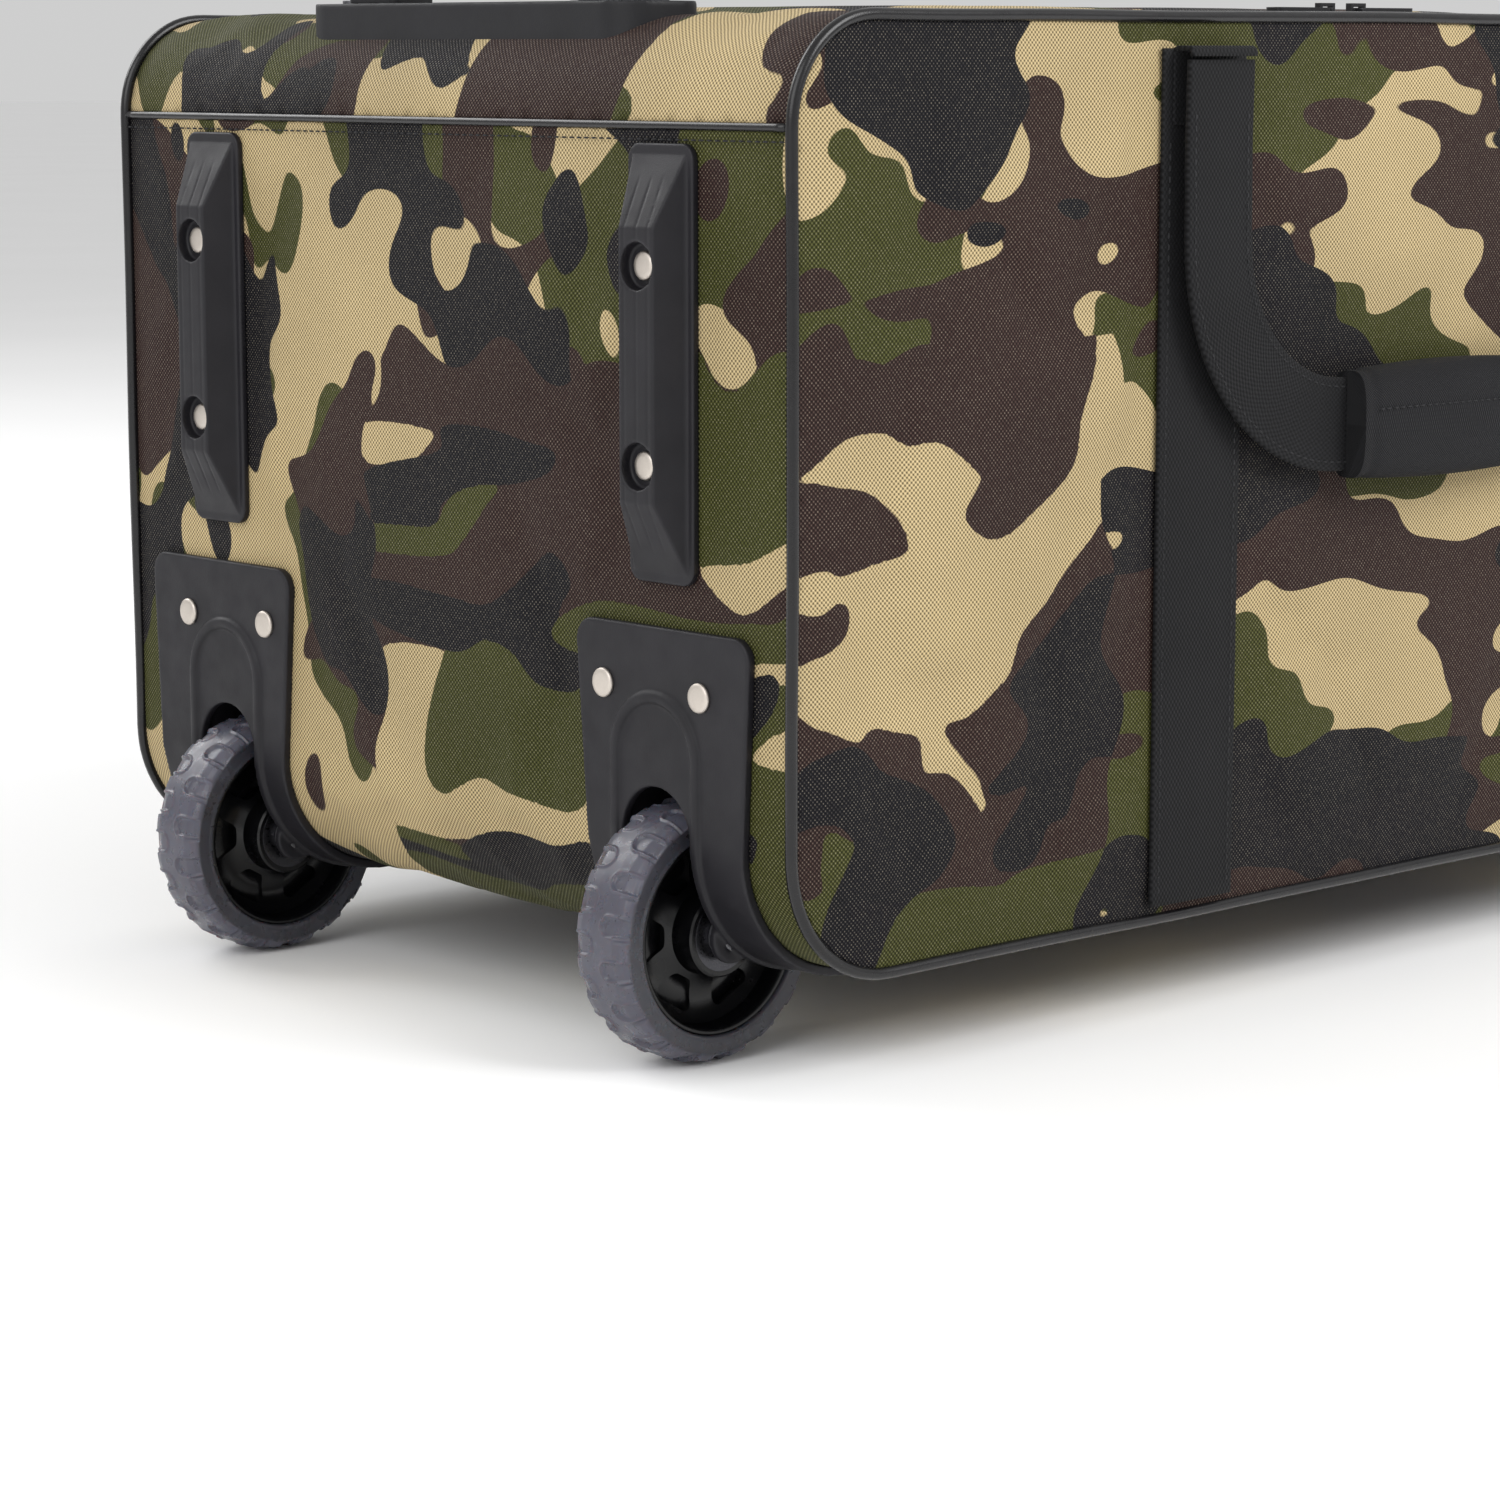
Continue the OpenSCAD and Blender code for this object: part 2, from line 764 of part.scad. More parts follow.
side_panel("front");  // side_panel_front
side_panel("back");  // side_panel_back
gusset();
top_panel();
piping("front");  // piping_front
piping("back");  // piping_back
base_board();
end_stiffener();
handle_cover();
lid_panel();
zip_half((zip_w + zip_slit) / 2, zip_w);  // zip_lid_half
zip_half(0, (zip_w - zip_slit) / 2);  // zip_frame_half
zip_slider("left");  // zip_slider_left
zip_slider("right");  // zip_slider_right
zip_pull("left");  // zip_pull_left
zip_pull("right");  // zip_pull_right
wheel_housing("front");  // wheel_housing_front
wheel_housing("back");  // wheel_housing_back
housing_rivets();
axle("front");  // axle_front
axle("back");  // axle_back
axle_washers();
tyre("front");  // tyre_front
hub("front");  // hub_front
bearings("front");  // bearings_front
bearing_spacer("front");  // bearing_spacer_front
tyre("back");  // tyre_back
hub("back");  // hub_back
bearings("back");  // bearings_back
bearing_spacer("back");  // bearing_spacer_back
skid_rail("front");  // skid_rail_front
skid_rail("back");  // skid_rail_back
rail_rivets();
foot("front");  // foot_front
foot("back");  // foot_back
foot_screws();
handle_bezel();
bezel_screws();
tube_shoes();
outer_tubes();
stage_tubes(1);  // stage_1_tubes
stage_collars(1);  // stage_1_collars
stage_tubes(2);  // stage_2_tubes
stage_collars(2);  // stage_2_collars
stage_3_tubes();
grip();
release_button();
push_rods();
webbing("front");  // webbing_front
webbing("back");  // webbing_back
carry_handle("front");  // carry_handle_front
carry_handle("back");  // carry_handle_back
handle_wrap();
grab_strap();
pocket_panel();
pocket_zip();
pocket_slider();
pocket_pull();
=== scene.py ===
"""Looks of a rolling duffel bag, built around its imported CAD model. Metres, +Z up."""
import bmesh
import bpy
import numpy as np
from mathutils import Matrix, Vector, geometry
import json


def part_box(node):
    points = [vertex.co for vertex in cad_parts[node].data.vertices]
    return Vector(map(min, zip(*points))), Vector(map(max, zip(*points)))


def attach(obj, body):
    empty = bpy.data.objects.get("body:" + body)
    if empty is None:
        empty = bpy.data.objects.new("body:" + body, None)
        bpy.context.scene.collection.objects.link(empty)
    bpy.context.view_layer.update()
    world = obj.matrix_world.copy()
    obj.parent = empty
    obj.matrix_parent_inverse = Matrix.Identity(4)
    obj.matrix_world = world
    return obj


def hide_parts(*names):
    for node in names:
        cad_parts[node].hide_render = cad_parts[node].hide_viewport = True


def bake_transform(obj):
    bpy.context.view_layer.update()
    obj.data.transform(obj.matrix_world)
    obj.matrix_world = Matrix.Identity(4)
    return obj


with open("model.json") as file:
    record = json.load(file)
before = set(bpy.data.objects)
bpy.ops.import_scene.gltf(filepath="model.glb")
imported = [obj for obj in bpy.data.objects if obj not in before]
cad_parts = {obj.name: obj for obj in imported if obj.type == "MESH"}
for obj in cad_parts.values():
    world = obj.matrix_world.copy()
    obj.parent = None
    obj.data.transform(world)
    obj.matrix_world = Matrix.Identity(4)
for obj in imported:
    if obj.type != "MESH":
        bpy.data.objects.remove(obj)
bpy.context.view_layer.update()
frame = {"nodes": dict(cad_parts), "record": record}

MM = 0.001
FABRIC = 1.6 * MM

# Places, from the frame

gusset_low, gusset_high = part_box("gusset")
_, top_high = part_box("top_panel")
panel_low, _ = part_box("side_panel_front")
plate_low, plate_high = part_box("wheel_housing_front")
rail_low, rail_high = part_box("skid_rail_front")
tyre_low, tyre_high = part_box("tyre_front")
bezel_low, bezel_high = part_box("handle_bezel")
frame_tape_low, frame_tape_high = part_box("zip_frame_half")
lid_low, lid_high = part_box("lid_panel")
pocket_low, pocket_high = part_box("pocket_panel")

END_X = gusset_low.x
FAR_X = gusset_high.x
UNDER_Z = gusset_low.z
TOP_Z = top_high.z
BAND_TOP = gusset_high.z
SIDE_Y = -panel_low.y
SEAM_Y = SIDE_Y - 1.2 * MM
LOW_R = 40 * MM
TOP_R = 32 * MM
HINGE_Y = frame_tape_high.y + 0.3 * MM
OPEN_R = 40 * MM
WHEEL_Y = -(tyre_low.y + tyre_high.y) / 2
WHEEL_X = (tyre_low.x + tyre_high.x) / 2
WHEEL_Z = (tyre_low.z + tyre_high.z) / 2
STRAP_X = 110 * MM
SIDES = {"front": -1, "back": 1}


# Camera, light and floor

def make_camera():
    """The near wheel's rim fixes where the camera stands; it looks down on the wheel end's corner."""
    forward = Vector((0.6646, 0.7278, -0.1659)).normalized()
    right = Vector((0.738, -0.674, 0)).normalized()
    up = right.cross(forward)
    rim = Vector((WHEEL_X, -WHEEL_Y - 12 * MM, WHEEL_Z))
    camera = bpy.data.objects.new("camera", bpy.data.cameras.new("camera"))
    camera.data.lens = 99.84
    camera.data.sensor_width = 36
    camera.data.clip_end = 60
    turn = Matrix((right, up, -forward)).transposed().to_4x4()
    place = rim - 1.242 * (forward - 0.00661 * right - 0.04437 * up)
    camera.matrix_world = Matrix.Translation(place) @ turn
    bpy.context.scene.collection.objects.link(camera)
    bpy.context.scene.camera = camera


def area_light(name, place, size, power, target=(-0.15, -0.05, 0.15)):
    light = bpy.data.lights.new(name, "AREA")
    light.size = size
    light.energy = power
    lamp = bpy.data.objects.new(name, light)
    lamp.location = place
    lamp.rotation_euler = (Vector(target) - Vector(place)).to_track_quat("-Z", "Y").to_euler()
    bpy.context.scene.collection.objects.link(lamp)


def make_studio():
    scene = bpy.context.scene
    scene.view_settings.view_transform = "Standard"
    world = bpy.data.worlds.new("studio")
    world.use_nodes = True
    world.node_tree.nodes["Background"].inputs["Color"].default_value = (1, 1, 1, 1)
    world.node_tree.nodes["Background"].inputs["Strength"].default_value = 0.62
    scene.world = world
    area_light("key", (0.6, -2.0, 1.7), 1.4, 42)
    area_light("fill", (-2.0, -0.5, 1.3), 1.6, 20)
    area_light("rim", (-0.6, 1.9, 1.6), 1.4, 24)
    floor_mesh = bpy.data.meshes.new("floor")
    half = 20
    floor_mesh.from_pydata([(-half, -half, 0), (half, -half, 0), (half, half, 0), (-half, half, 0)],
                           [], [(0, 1, 2, 3)])
    floor = bpy.data.objects.new("floor", floor_mesh)
    scene.collection.objects.link(floor)
    pale = Graph("pale_floor", Roughness=0.9)
    pale.feed("Base Color", pale.vary(srgb(252, 252, 252), 0.01, 3))
    floor.data.materials.append(pale.material)


# Node materials

def srgb(r, g, b):
    """Linear colour of an 8-bit sRGB colour."""
    channels = np.array([r, g, b]) / 255
    linear = np.where(channels <= 0.04045, channels / 12.92, ((channels + 0.055) / 1.055) ** 2.4)
    return (*map(float, linear), 1.0)


class Graph:
    """A Principled material and a short way to add nodes to it."""

    def __init__(self, name, **sockets):
        self.material = bpy.data.materials.new(name)
        self.material.use_nodes = True
        self.tree = self.material.node_tree
        self.shader = self.tree.nodes["Principled BSDF"]
        for socket, value in sockets.items():
            self.shader.inputs[socket.replace("_", " ")].default_value = value

    def add(self, kind, inputs=None, **settings):
        node = self.tree.nodes.new("ShaderNode" + kind)
        for key, value in settings.items():
            setattr(node, key, value)
        for key, value in (inputs or {}).items():
            self.join(value, node.inputs[key])
        return node

    def join(self, value, socket):
        if isinstance(value, bpy.types.NodeSocket):
            self.tree.links.new(value, socket)
        else:
            socket.default_value = value

    def feed(self, socket, value):
        self.join(value, self.shader.inputs[socket])

    def math(self, operation, a, b=0.0, c=0.0):
        return self.add("Math", {0: a, 1: b, 2: c}, operation=operation).outputs[0]

    def mix(self, factor, a, b, blend="MIX"):
        node = self.add("Mix", {0: factor, 6: a, 7: b}, data_type="RGBA", blend_type=blend)
        return node.outputs[2]

    def place(self):
        return self.add("TexCoord").outputs["Object"]

    def noise(self, scale, detail=3.0, stretch=None):
        where = self.place()
        if stretch:
            where = self.add("VectorMath", {0: where, 1: stretch}, operation="MULTIPLY").outputs[0]
        return self.add("TexNoise", {"Vector": where, "Scale": scale, "Detail": detail}).outputs["Fac"]

    def span(self, value, low, high, to_low=0.0, to_high=1.0):
        node = self.add("MapRange", {0: value, 1: low, 2: high, 3: to_low, 4: to_high})
        return node.outputs[0]

    def shade(self, colour, factor):
        """The colour, multiplied by a factor."""
        grey = self.add("CombineColor", {0: factor, 1: factor, 2: factor}).outputs[0]
        return self.mix(1.0, colour, grey, "MULTIPLY")

    def vary(self, colour, amount, scale):
        """The colour, a little lighter and darker from place to place."""
        factor = self.span(self.noise(scale), 0.3, 0.7, 1 - amount, 1 + amount)
        return self.shade(colour, factor)

    def bump(self, height, distance, normal=None, strength=1.0):
        inputs = {"Height": height, "Distance": distance, "Strength": strength}
        if normal:
            inputs["Normal"] = normal
        return self.add("Bump", inputs).outputs[0]

    def cloth_axes(self):
        """The cloth's own two directions, in metres."""
        uv = self.add("UVMap", uv_map="cloth").outputs[0]
        parts = self.add("SeparateXYZ", {0: uv}).outputs
        return parts[0], parts[1]

    def wave(self, axis, period, shift=0.0):
        return self.math("SINE", self.math("MULTIPLY_ADD", axis, 2 * np.pi / period, shift))

    def weave(self, period_u, period_v):
        """Threads crossing over and under, from 0 in the gaps to 1 on the thread tops."""
        u, v = self.cloth_axes()
        checks = self.math("MULTIPLY", self.wave(u, period_u), self.wave(v, period_v))
        return self.math("MULTIPLY_ADD", checks, 0.5, 0.5)


def camo_material():
    """Printed nylon: four flat colours over a coarse plain weave, with the weave's shade and highlights
    painted into the colour.
    """
    g = Graph("camo_nylon", Roughness=0.62, Sheen_Weight=0.03, Sheen_Roughness=0.4, Specular_IOR_Level=0.15)
    colour = srgb(186, 166, 124)
    for field, ink in (("green", srgb(64, 66, 26)), ("brown", srgb(50, 33, 30)), ("black", srgb(17, 16, 22))):
        value = g.add("Attribute", attribute_name=field).outputs["Fac"]
        colour = g.mix(g.span(value, -0.15, 0.15), colour, ink)
    threads = g.weave(1.5 * MM, 1.5 * MM)
    # Painted shade and highlight: the gaps between threads are painted darker and the thread tops lighter.
    colour = g.shade(colour, g.span(threads, 0.15, 0.75, 0.25, 1.25))
    # Painted highlight: pale glints painted on the thread tops.
    glint = g.math("MULTIPLY", g.span(threads, 0.72, 1.0), g.span(g.noise(700, 1), 0.35, 0.7, 0.05, 0.3))
    colour = g.mix(glint, colour, srgb(214, 202, 178))
    g.feed("Base Color", g.vary(colour, 0.08, 14))
    g.feed("Roughness", g.span(threads, 0, 1, 0.78, 0.5))
    g.feed("Normal", g.bump(threads, 0.22 * MM))
    return g.material


def woven_material(name, colour, period_u, period_v, roughness=0.7):
    """Plain dyed webbing, tape or lining, with its threads along and across the strip, and the weave's shade
    and highlights painted into the colour.
    """
    g = Graph(name, Roughness=roughness, Sheen_Weight=0.03, Sheen_Roughness=0.5, Specular_IOR_Level=0.18)
    threads = g.weave(period_u, period_v)
    # Painted shade and highlight: the gaps between threads are painted darker and the thread tops lighter.
    g.feed("Base Color", g.shade(g.vary(colour, 0.12, 30), g.span(threads, 0.1, 0.9, 0.45, 1.35)))
    g.feed("Roughness", g.span(threads, 0, 1, roughness + 0.12, roughness - 0.1))
    g.feed("Normal", g.bump(threads, 0.25 * MM))
    return g.material


def plastic_material(name, colour, roughness, rounded=False, coat=0.0, edge_highlight_and_wear_amount=0.12):
    """Moulded plastic: fine grain, faint flow marks, and edges painted paler, partly as real scuffing and
    partly as a painted edge highlight.
    """
    g = Graph(name, Roughness=roughness, Specular_IOR_Level=0.28, Coat_Weight=coat, Coat_Roughness=0.25)
    # Mask of the edges to paint paler: a painted edge highlight together with scuffing.
    if rounded:
        normal = g.add("Bevel", {"Radius": 0.5 * MM}, samples=4).outputs[0]
        face = g.add("NewGeometry").outputs["Normal"]
        turn = g.add("VectorMath", {0: normal, 1: face}, operation="DOT_PRODUCT").outputs["Value"]
        edge_highlight_and_wear = g.span(turn, 1.0, 0.9, 0.0, edge_highlight_and_wear_amount)
    else:
        normal = None
        edge_highlight_and_wear = g.span(g.add("NewGeometry").outputs["Pointiness"], 0.51, 0.58, 0.0, edge_highlight_and_wear_amount)
    # Paler edge colour: a painted edge highlight together with scuffing.
    edge_highlight_and_wear_colour = tuple(min(1.0, c * 2.4 + 0.012) for c in colour[:3]) + (1.0,)
    g.feed("Base Color", g.mix(edge_highlight_and_wear, g.vary(colour, 0.18, 45), edge_highlight_and_wear_colour))
    g.feed("Roughness", g.span(g.noise(120), 0.3, 0.7, roughness - 0.07, roughness + 0.08))
    g.feed("Normal", g.bump(g.noise(2200, 2), 0.04 * MM, normal))
    return g.material


def metal_material(name, colour, roughness, stretch=(1, 1, 1)):
    """Plated or drawn metal with fine scratches along one direction."""
    g = Graph(name, Metallic=1.0, Roughness=roughness)
    normal = g.add("Bevel", {"Radius": 0.3 * MM}, samples=4).outputs[0]
    lines = g.noise(1800, 2, stretch)
    g.feed("Base Color", g.vary(colour, 0.06, 90))
    g.feed("Roughness", g.span(lines, 0.3, 0.7, roughness - 0.06, roughness + 0.1))
    g.feed("Normal", g.bump(lines, 0.012 * MM, normal))
    return g.material


def tyre_material():
    """Smoky translucent polyurethane, cloudier on the tread and darker on the side ring."""
    g = Graph("smoky_polyurethane", Transmission_Weight=0.45, IOR=1.45, Specular_IOR_Level=0.5,
              Subsurface_Weight=0.25, Subsurface_Scale=6 * MM)
    ring = g.add("Attribute", attribute_name="ring").outputs["Fac"]
    tread = g.vary(srgb(104, 103, 117), 0.08, 60)
    g.feed("Base Color", g.mix(ring, tread, srgb(74, 74, 82)))
    g.feed("Roughness", g.span(g.noise(260), 0.3, 0.7, 0.2, 0.42))
    g.feed("Normal", g.bump(g.noise(260, 2), 0.02 * MM))
    return g.material


def make_materials():
    made = {
        "camo_fabric": camo_material(),
        "webbing": woven_material("black_webbing", srgb(22, 22, 24), 1.6 * MM, 2.2 * MM),
        "lining": woven_material("black_lining", srgb(26, 26, 29), 0.8 * MM, 0.8 * MM),
        "zip_tape": woven_material("zip_tape", srgb(20, 20, 22), 0.9 * MM, 1.1 * MM),
        "wrap": woven_material("wrap_fabric", srgb(24, 24, 27), 1.1 * MM, 1.1 * MM),
        "thread": woven_material("thread", srgb(48, 48, 50), 0.6 * MM, 0.6 * MM, 0.6),
        "piping": plastic_material("piping_vinyl", srgb(17, 16, 18), 0.28, coat=0.35, edge_highlight_and_wear_amount=0),
        "housing": plastic_material("housing_plastic", srgb(29, 28, 32), 0.5),
        "rail": plastic_material("rail_plastic", srgb(30, 29, 33), 0.46),
        "hub": plastic_material("hub_plastic", srgb(8, 8, 10), 0.22, coat=0.2, edge_highlight_and_wear_amount=0),
        "foot": plastic_material("foot_plastic", srgb(27, 27, 30), 0.55),
        "bezel": plastic_material("bezel_plastic", srgb(28, 28, 31), 0.48),
        "grip": plastic_material("grip_plastic", srgb(28, 28, 31), 0.5),
        "collar": plastic_material("collar_plastic", srgb(34, 34, 36), 0.4, rounded=True),
        "board": plastic_material("board_plastic", srgb(54, 54, 56), 0.6, rounded=True),
        "button": plastic_material("button_plastic", srgb(92, 92, 97), 0.45, rounded=True),
        "zip_metal": plastic_material("zip_enamel", srgb(30, 30, 33), 0.28, rounded=True, coat=0.3),
        "rivet": metal_material("nickel_rivet", srgb(206, 198, 189), 0.45),
        "axle": metal_material("zinc", srgb(150, 150, 154), 0.36, (1, 0.1, 1)),
        "bearing": metal_material("bearing_steel", srgb(80, 80, 84), 0.3, (1, 0.1, 1)),
        "screw": metal_material("dark_zinc", srgb(112, 112, 116), 0.35),
        "tube": metal_material("anodised_aluminium", srgb(186, 188, 192), 0.3, (1, 1, 0.03)),
        "tyre": tyre_material(),
    }
    return made


# Lines, sweeps and meshes

def resample(points, step, closed):
    """The same line with its points about one step apart."""
    line = np.vstack([points, points[:1]]) if closed else np.asarray(points, float)
    lengths = np.r_[0, np.cumsum(np.linalg.norm(np.diff(line, axis=0), axis=1))]
    count = max(2, int(round(lengths[-1] / step)))
    at = np.linspace(0, lengths[-1], count + 1)
    if closed:
        at = at[:-1]
    return np.column_stack([np.interp(at, lengths, line[:, k]) for k in range(line.shape[1])])


def fillet(corners, radii, step, closed=True):
    """A line through the corners, with each corner rounded to its radius."""
    corners = np.asarray(corners, float)
    count = len(corners)
    points = []
    for i, p in enumerate(corners):
        r = radii if np.isscalar(radii) else radii[i]
        if r <= 0 or (not closed and i in (0, count - 1)):
            points.append(p)
            continue
        d1 = corners[i - 1] - p
        d2 = corners[(i + 1) % count] - p
        d1 = d1 / np.linalg.norm(d1)
        d2 = d2 / np.linalg.norm(d2)
        half = np.arccos(np.clip(d1 @ d2, -1, 1)) / 2
        middle = p + (d1 + d2) / np.linalg.norm(d1 + d2) * r / np.sin(half)
        a = p + d1 * r / np.tan(half) - middle
        b = p + d2 * r / np.tan(half) - middle
        sweep_angle = np.pi - 2 * half
        for t in np.linspace(0, 1, 14):
            weight_a = np.sin((1 - t) * sweep_angle) / np.sin(sweep_angle)
            weight_b = np.sin(t * sweep_angle) / np.sin(sweep_angle)
            points.append(middle + weight_a * a + weight_b * b)
    return resample(np.array(points), step, closed)


def grid_faces(rings, around, closed=False, first=0):
    """Faces between rings of points; closed joins the last ring to the first."""
    last = rings if closed else rings - 1
    return [(first + i * around + k, first + i * around + (k + 1) % around,
             first + (i + 1) % rings * around + (k + 1) % around, first + (i + 1) % rings * around + k)
            for i in range(last) for k in range(around)]


def mesh_object(name, verts, faces, material, smooth=True):
    mesh = bpy.data.meshes.new(name)
    mesh.from_pydata([tuple(map(float, v)) for v in verts], [], [tuple(map(int, f)) for f in faces])
    mesh.update()
    obj = bpy.data.objects.new(name, mesh)
    bpy.context.scene.collection.objects.link(obj)
    obj.data.materials.append(material)
    if smooth:
        obj.data.shade_smooth()
    return obj


def weld(obj):
    """Joins the points that lie in one place."""
    solid = bmesh.new()
    solid.from_mesh(obj.data)
    bmesh.ops.remove_doubles(solid, verts=solid.verts, dist=1e-6)
    solid.to_mesh(obj.data)
    solid.free()


def outward(obj):
    """Turns the faces of closed solids to look outwards."""
    solid = bmesh.new()
    solid.from_mesh(obj.data)
    bmesh.ops.recalc_face_normals(solid, faces=solid.faces)
    solid.to_mesh(obj.data)
    solid.free()


def cloth_uv(obj, flat):
    """Stores each point's place on the flat cloth, in metres, as the map named cloth."""
    layer = obj.data.uv_layers.new(name="cloth")
    loops = np.zeros(len(obj.data.loops), int)
    obj.data.loops.foreach_get("vertex_index", loops)
    layer.data.foreach_set("uv", np.asarray(flat, np.float32)[loops].ravel())


def finish_piece(obj, body, slot, *nodes):
    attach(obj, body)
    if nodes:
        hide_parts(*nodes)
    return obj


def sweep(name, path, across, profile, material, closed=False):
    """A profile carried along a path. across is the strip's wide direction, one or one for each point."""
    path = np.asarray(path, float)
    count = len(path)
    if closed:
        tangents = np.roll(path, -1, 0) - np.roll(path, 1, 0)
    else:
        tangents = np.gradient(path, axis=0)
    tangents /= np.linalg.norm(tangents, axis=1)[:, None]
    across = np.broadcast_to(np.asarray(across, float), path.shape)
    across = across - (across * tangents).sum(1)[:, None] * tangents
    across = across / np.linalg.norm(across, axis=1)[:, None]
    lift = np.cross(tangents, across)
    profile = np.asarray(profile, float)
    ring = len(profile)
    verts = (path[:, None] + profile[None, :, :1] * across[:, None] + profile[None, :, 1:] * lift[:, None])
    faces = grid_faces(count, ring, closed)
    if not closed:
        faces.append(tuple(range(ring)))
        faces.append(tuple(range(count * ring - 1, (count - 1) * ring - 1, -1)))
    obj = mesh_object(name, verts.reshape(-1, 3), faces, material)
    along = np.r_[0, np.cumsum(np.linalg.norm(np.diff(path, axis=0), axis=1))]
    flat = np.column_stack([np.tile(profile[:, 0], count), np.repeat(along, ring)])
    cloth_uv(obj, flat)
    outward(obj)
    return obj


def strip_profile(width, thick):
    """A flat strip's section with rounded long edges."""
    half = width / 2
    r = thick / 2
    side = [(half - r + r * np.cos(a), r * np.sin(a)) for a in np.linspace(-np.pi / 2, np.pi / 2, 7)]
    return side + [(-x, -y) for x, y in side]


def circle_profile(r, sides=12):
    turn = np.linspace(0, 2 * np.pi, sides, endpoint=False)
    return np.column_stack([r * np.cos(turn), r * np.sin(turn)])


def lathe(name, profile, centre, axis, material, segments=48, closed=False):
    """A profile of (radius, place along the axis) turned round an axis through the centre."""
    axis = Vector(axis).normalized()
    side = axis.orthogonal().normalized()
    up = axis.cross(side)
    profile = np.asarray(profile, float)
    turn = np.linspace(0, 2 * np.pi, segments, endpoint=False)
    rays = np.cos(turn)[:, None] * np.array(side) + np.sin(turn)[:, None] * np.array(up)
    verts = (np.array(centre) + profile[None, :, :1] * rays[:, None] + profile[None, :, 1:] * np.array(axis))
    ring = len(profile)
    faces = []
    for i in range(segments):
        j = (i + 1) % segments
        for k in range(ring if closed else ring - 1):
            m = (k + 1) % ring
            faces.append((i * ring + k, j * ring + k, j * ring + m, i * ring + m))
    obj = mesh_object(name, verts.reshape(-1, 3), faces, material)
    weld(obj)
    outward(obj)
    return obj


def join(name, parts):
    """Several pieces as one mesh."""
    with bpy.context.temp_override(active_object=parts[0], selected_editable_objects=parts):
        bpy.ops.object.join()
    parts[0].name = name
    return parts[0]


def keep_result(obj):
    """Makes what the modifiers give the piece's own mesh."""
    graph = bpy.context.evaluated_depsgraph_get()
    made = bpy.data.meshes.new_from_object(obj.evaluated_get(graph), preserve_all_data_layers=True,
                                           depsgraph=graph)
    obj.modifiers.clear()
    obj.data = made


def soft_edged(name, node, voxel, passes, material):
    """A copy of a CAD node with its sharp edges melted into soft moulded ones."""
    obj = frame["nodes"][node].copy()
    obj.data = obj.data.copy()
    obj.name = name
    obj.parent = None
    for key in list(obj.keys()):
        del obj[key]
    bpy.context.scene.collection.objects.link(obj)
    obj.data.materials.clear()
    obj.data.materials.append(material)
    weld(obj)
    remesh = obj.modifiers.new("remesh", "REMESH")
    remesh.mode = "VOXEL"
    remesh.voxel_size = voxel
    melt = obj.modifiers.new("melt", "SMOOTH")
    melt.iterations = passes
    melt.factor = 0.5
    keep_result(obj)
    obj.data.shade_smooth()
    return obj


def solids_of(node):
    """Lowest and highest corner of each separate solid in a CAD node."""
    loose = bmesh.new()
    loose.from_mesh(frame["nodes"][node].data)
    bmesh.ops.remove_doubles(loose, verts=loose.verts, dist=1e-6)
    left = set(loose.verts)
    boxes = []
    while left:
        stack = [left.pop()]
        island = []
        while stack:
            vert = stack.pop()
            island.append(vert.co.copy())
            for edge in vert.link_edges:
                other = edge.other_vert(vert)
                if other in left:
                    left.remove(other)
                    stack.append(other)
        points = np.array(island)
        boxes.append((points.min(0), points.max(0)))
    loose.free()
    return sorted(boxes, key=lambda b: tuple(np.round(b[0], 4)))


# Camouflage

# Outlines of the print near the wheel corner, in mm; the later ones lie over the earlier ones.
# On the side panel they are in distance from the end face and height.
SIDE_SHAPES = [
    ("brown", [(-8, 181), (3, 181), (20, 191), (35, 192), (44, 188), (56, 188), (70, 179), (72, 175),
               (66, 165), (79, 158), (95, 165), (110, 176), (114, 190), (115, 225), (-8, 225)]),
    ("brown", [(-8, 178), (20, 176), (31, 173), (40, 165), (42, 157), (29, 154), (18, 152), (11, 154),
               (-8, 153)]),
    ("brown", [(-8, 142), (0, 142), (10, 140), (17, 143), (21, 141), (20, 134), (10, 129), (-8, 127)]),
    ("brown", [(-8, 108), (10, 107), (24, 102), (31, 105), (41, 103), (50, 100), (53, 90), (63, 88),
               (71, 82), (77, 75), (81, 71), (82, 20), (-8, 20)]),
    ("brown", [(81, 71), (81, 75), (76, 86), (69, 93), (62, 102), (70, 105), (80, 112), (86, 117),
               (91, 128), (103, 137), (122, 154), (150, 175), (150, 20), (82, 20)]),
    ("green", [(32, 32), (39, 46), (48, 54), (67, 54), (85, 52), (96, 55), (124, 57), (150, 57),
               (150, 16), (27, 16)]),
    ("black", [(150, 144), (134, 143), (122, 141), (111, 133), (101, 124), (86, 113), (94, 104),
               (96, 99), (93, 93), (81, 83), (85, 80), (98, 81), (90, 70), (83, 63), (85, 57), (96, 56),
               (102, 60), (106, 68), (114, 71), (124, 86), (150, 90)]),
    ("black", [(-8, 91), (-1, 91), (6, 97), (21, 101), (28, 98), (35, 92), (48, 87), (58, 81), (65, 69),
               (58, 59), (48, 54), (39, 46), (32, 32), (21, 31), (8, 41), (14, 54), (23, 71), (19, 78),
               (10, 80), (-8, 78)]),
    ("green", [(13, 77), (21, 74), (23, 71), (14, 54), (11, 42), (5, 30), (-8, 30), (-8, 58), (-1, 58),
               (11, 59), (11, 67)]),
]
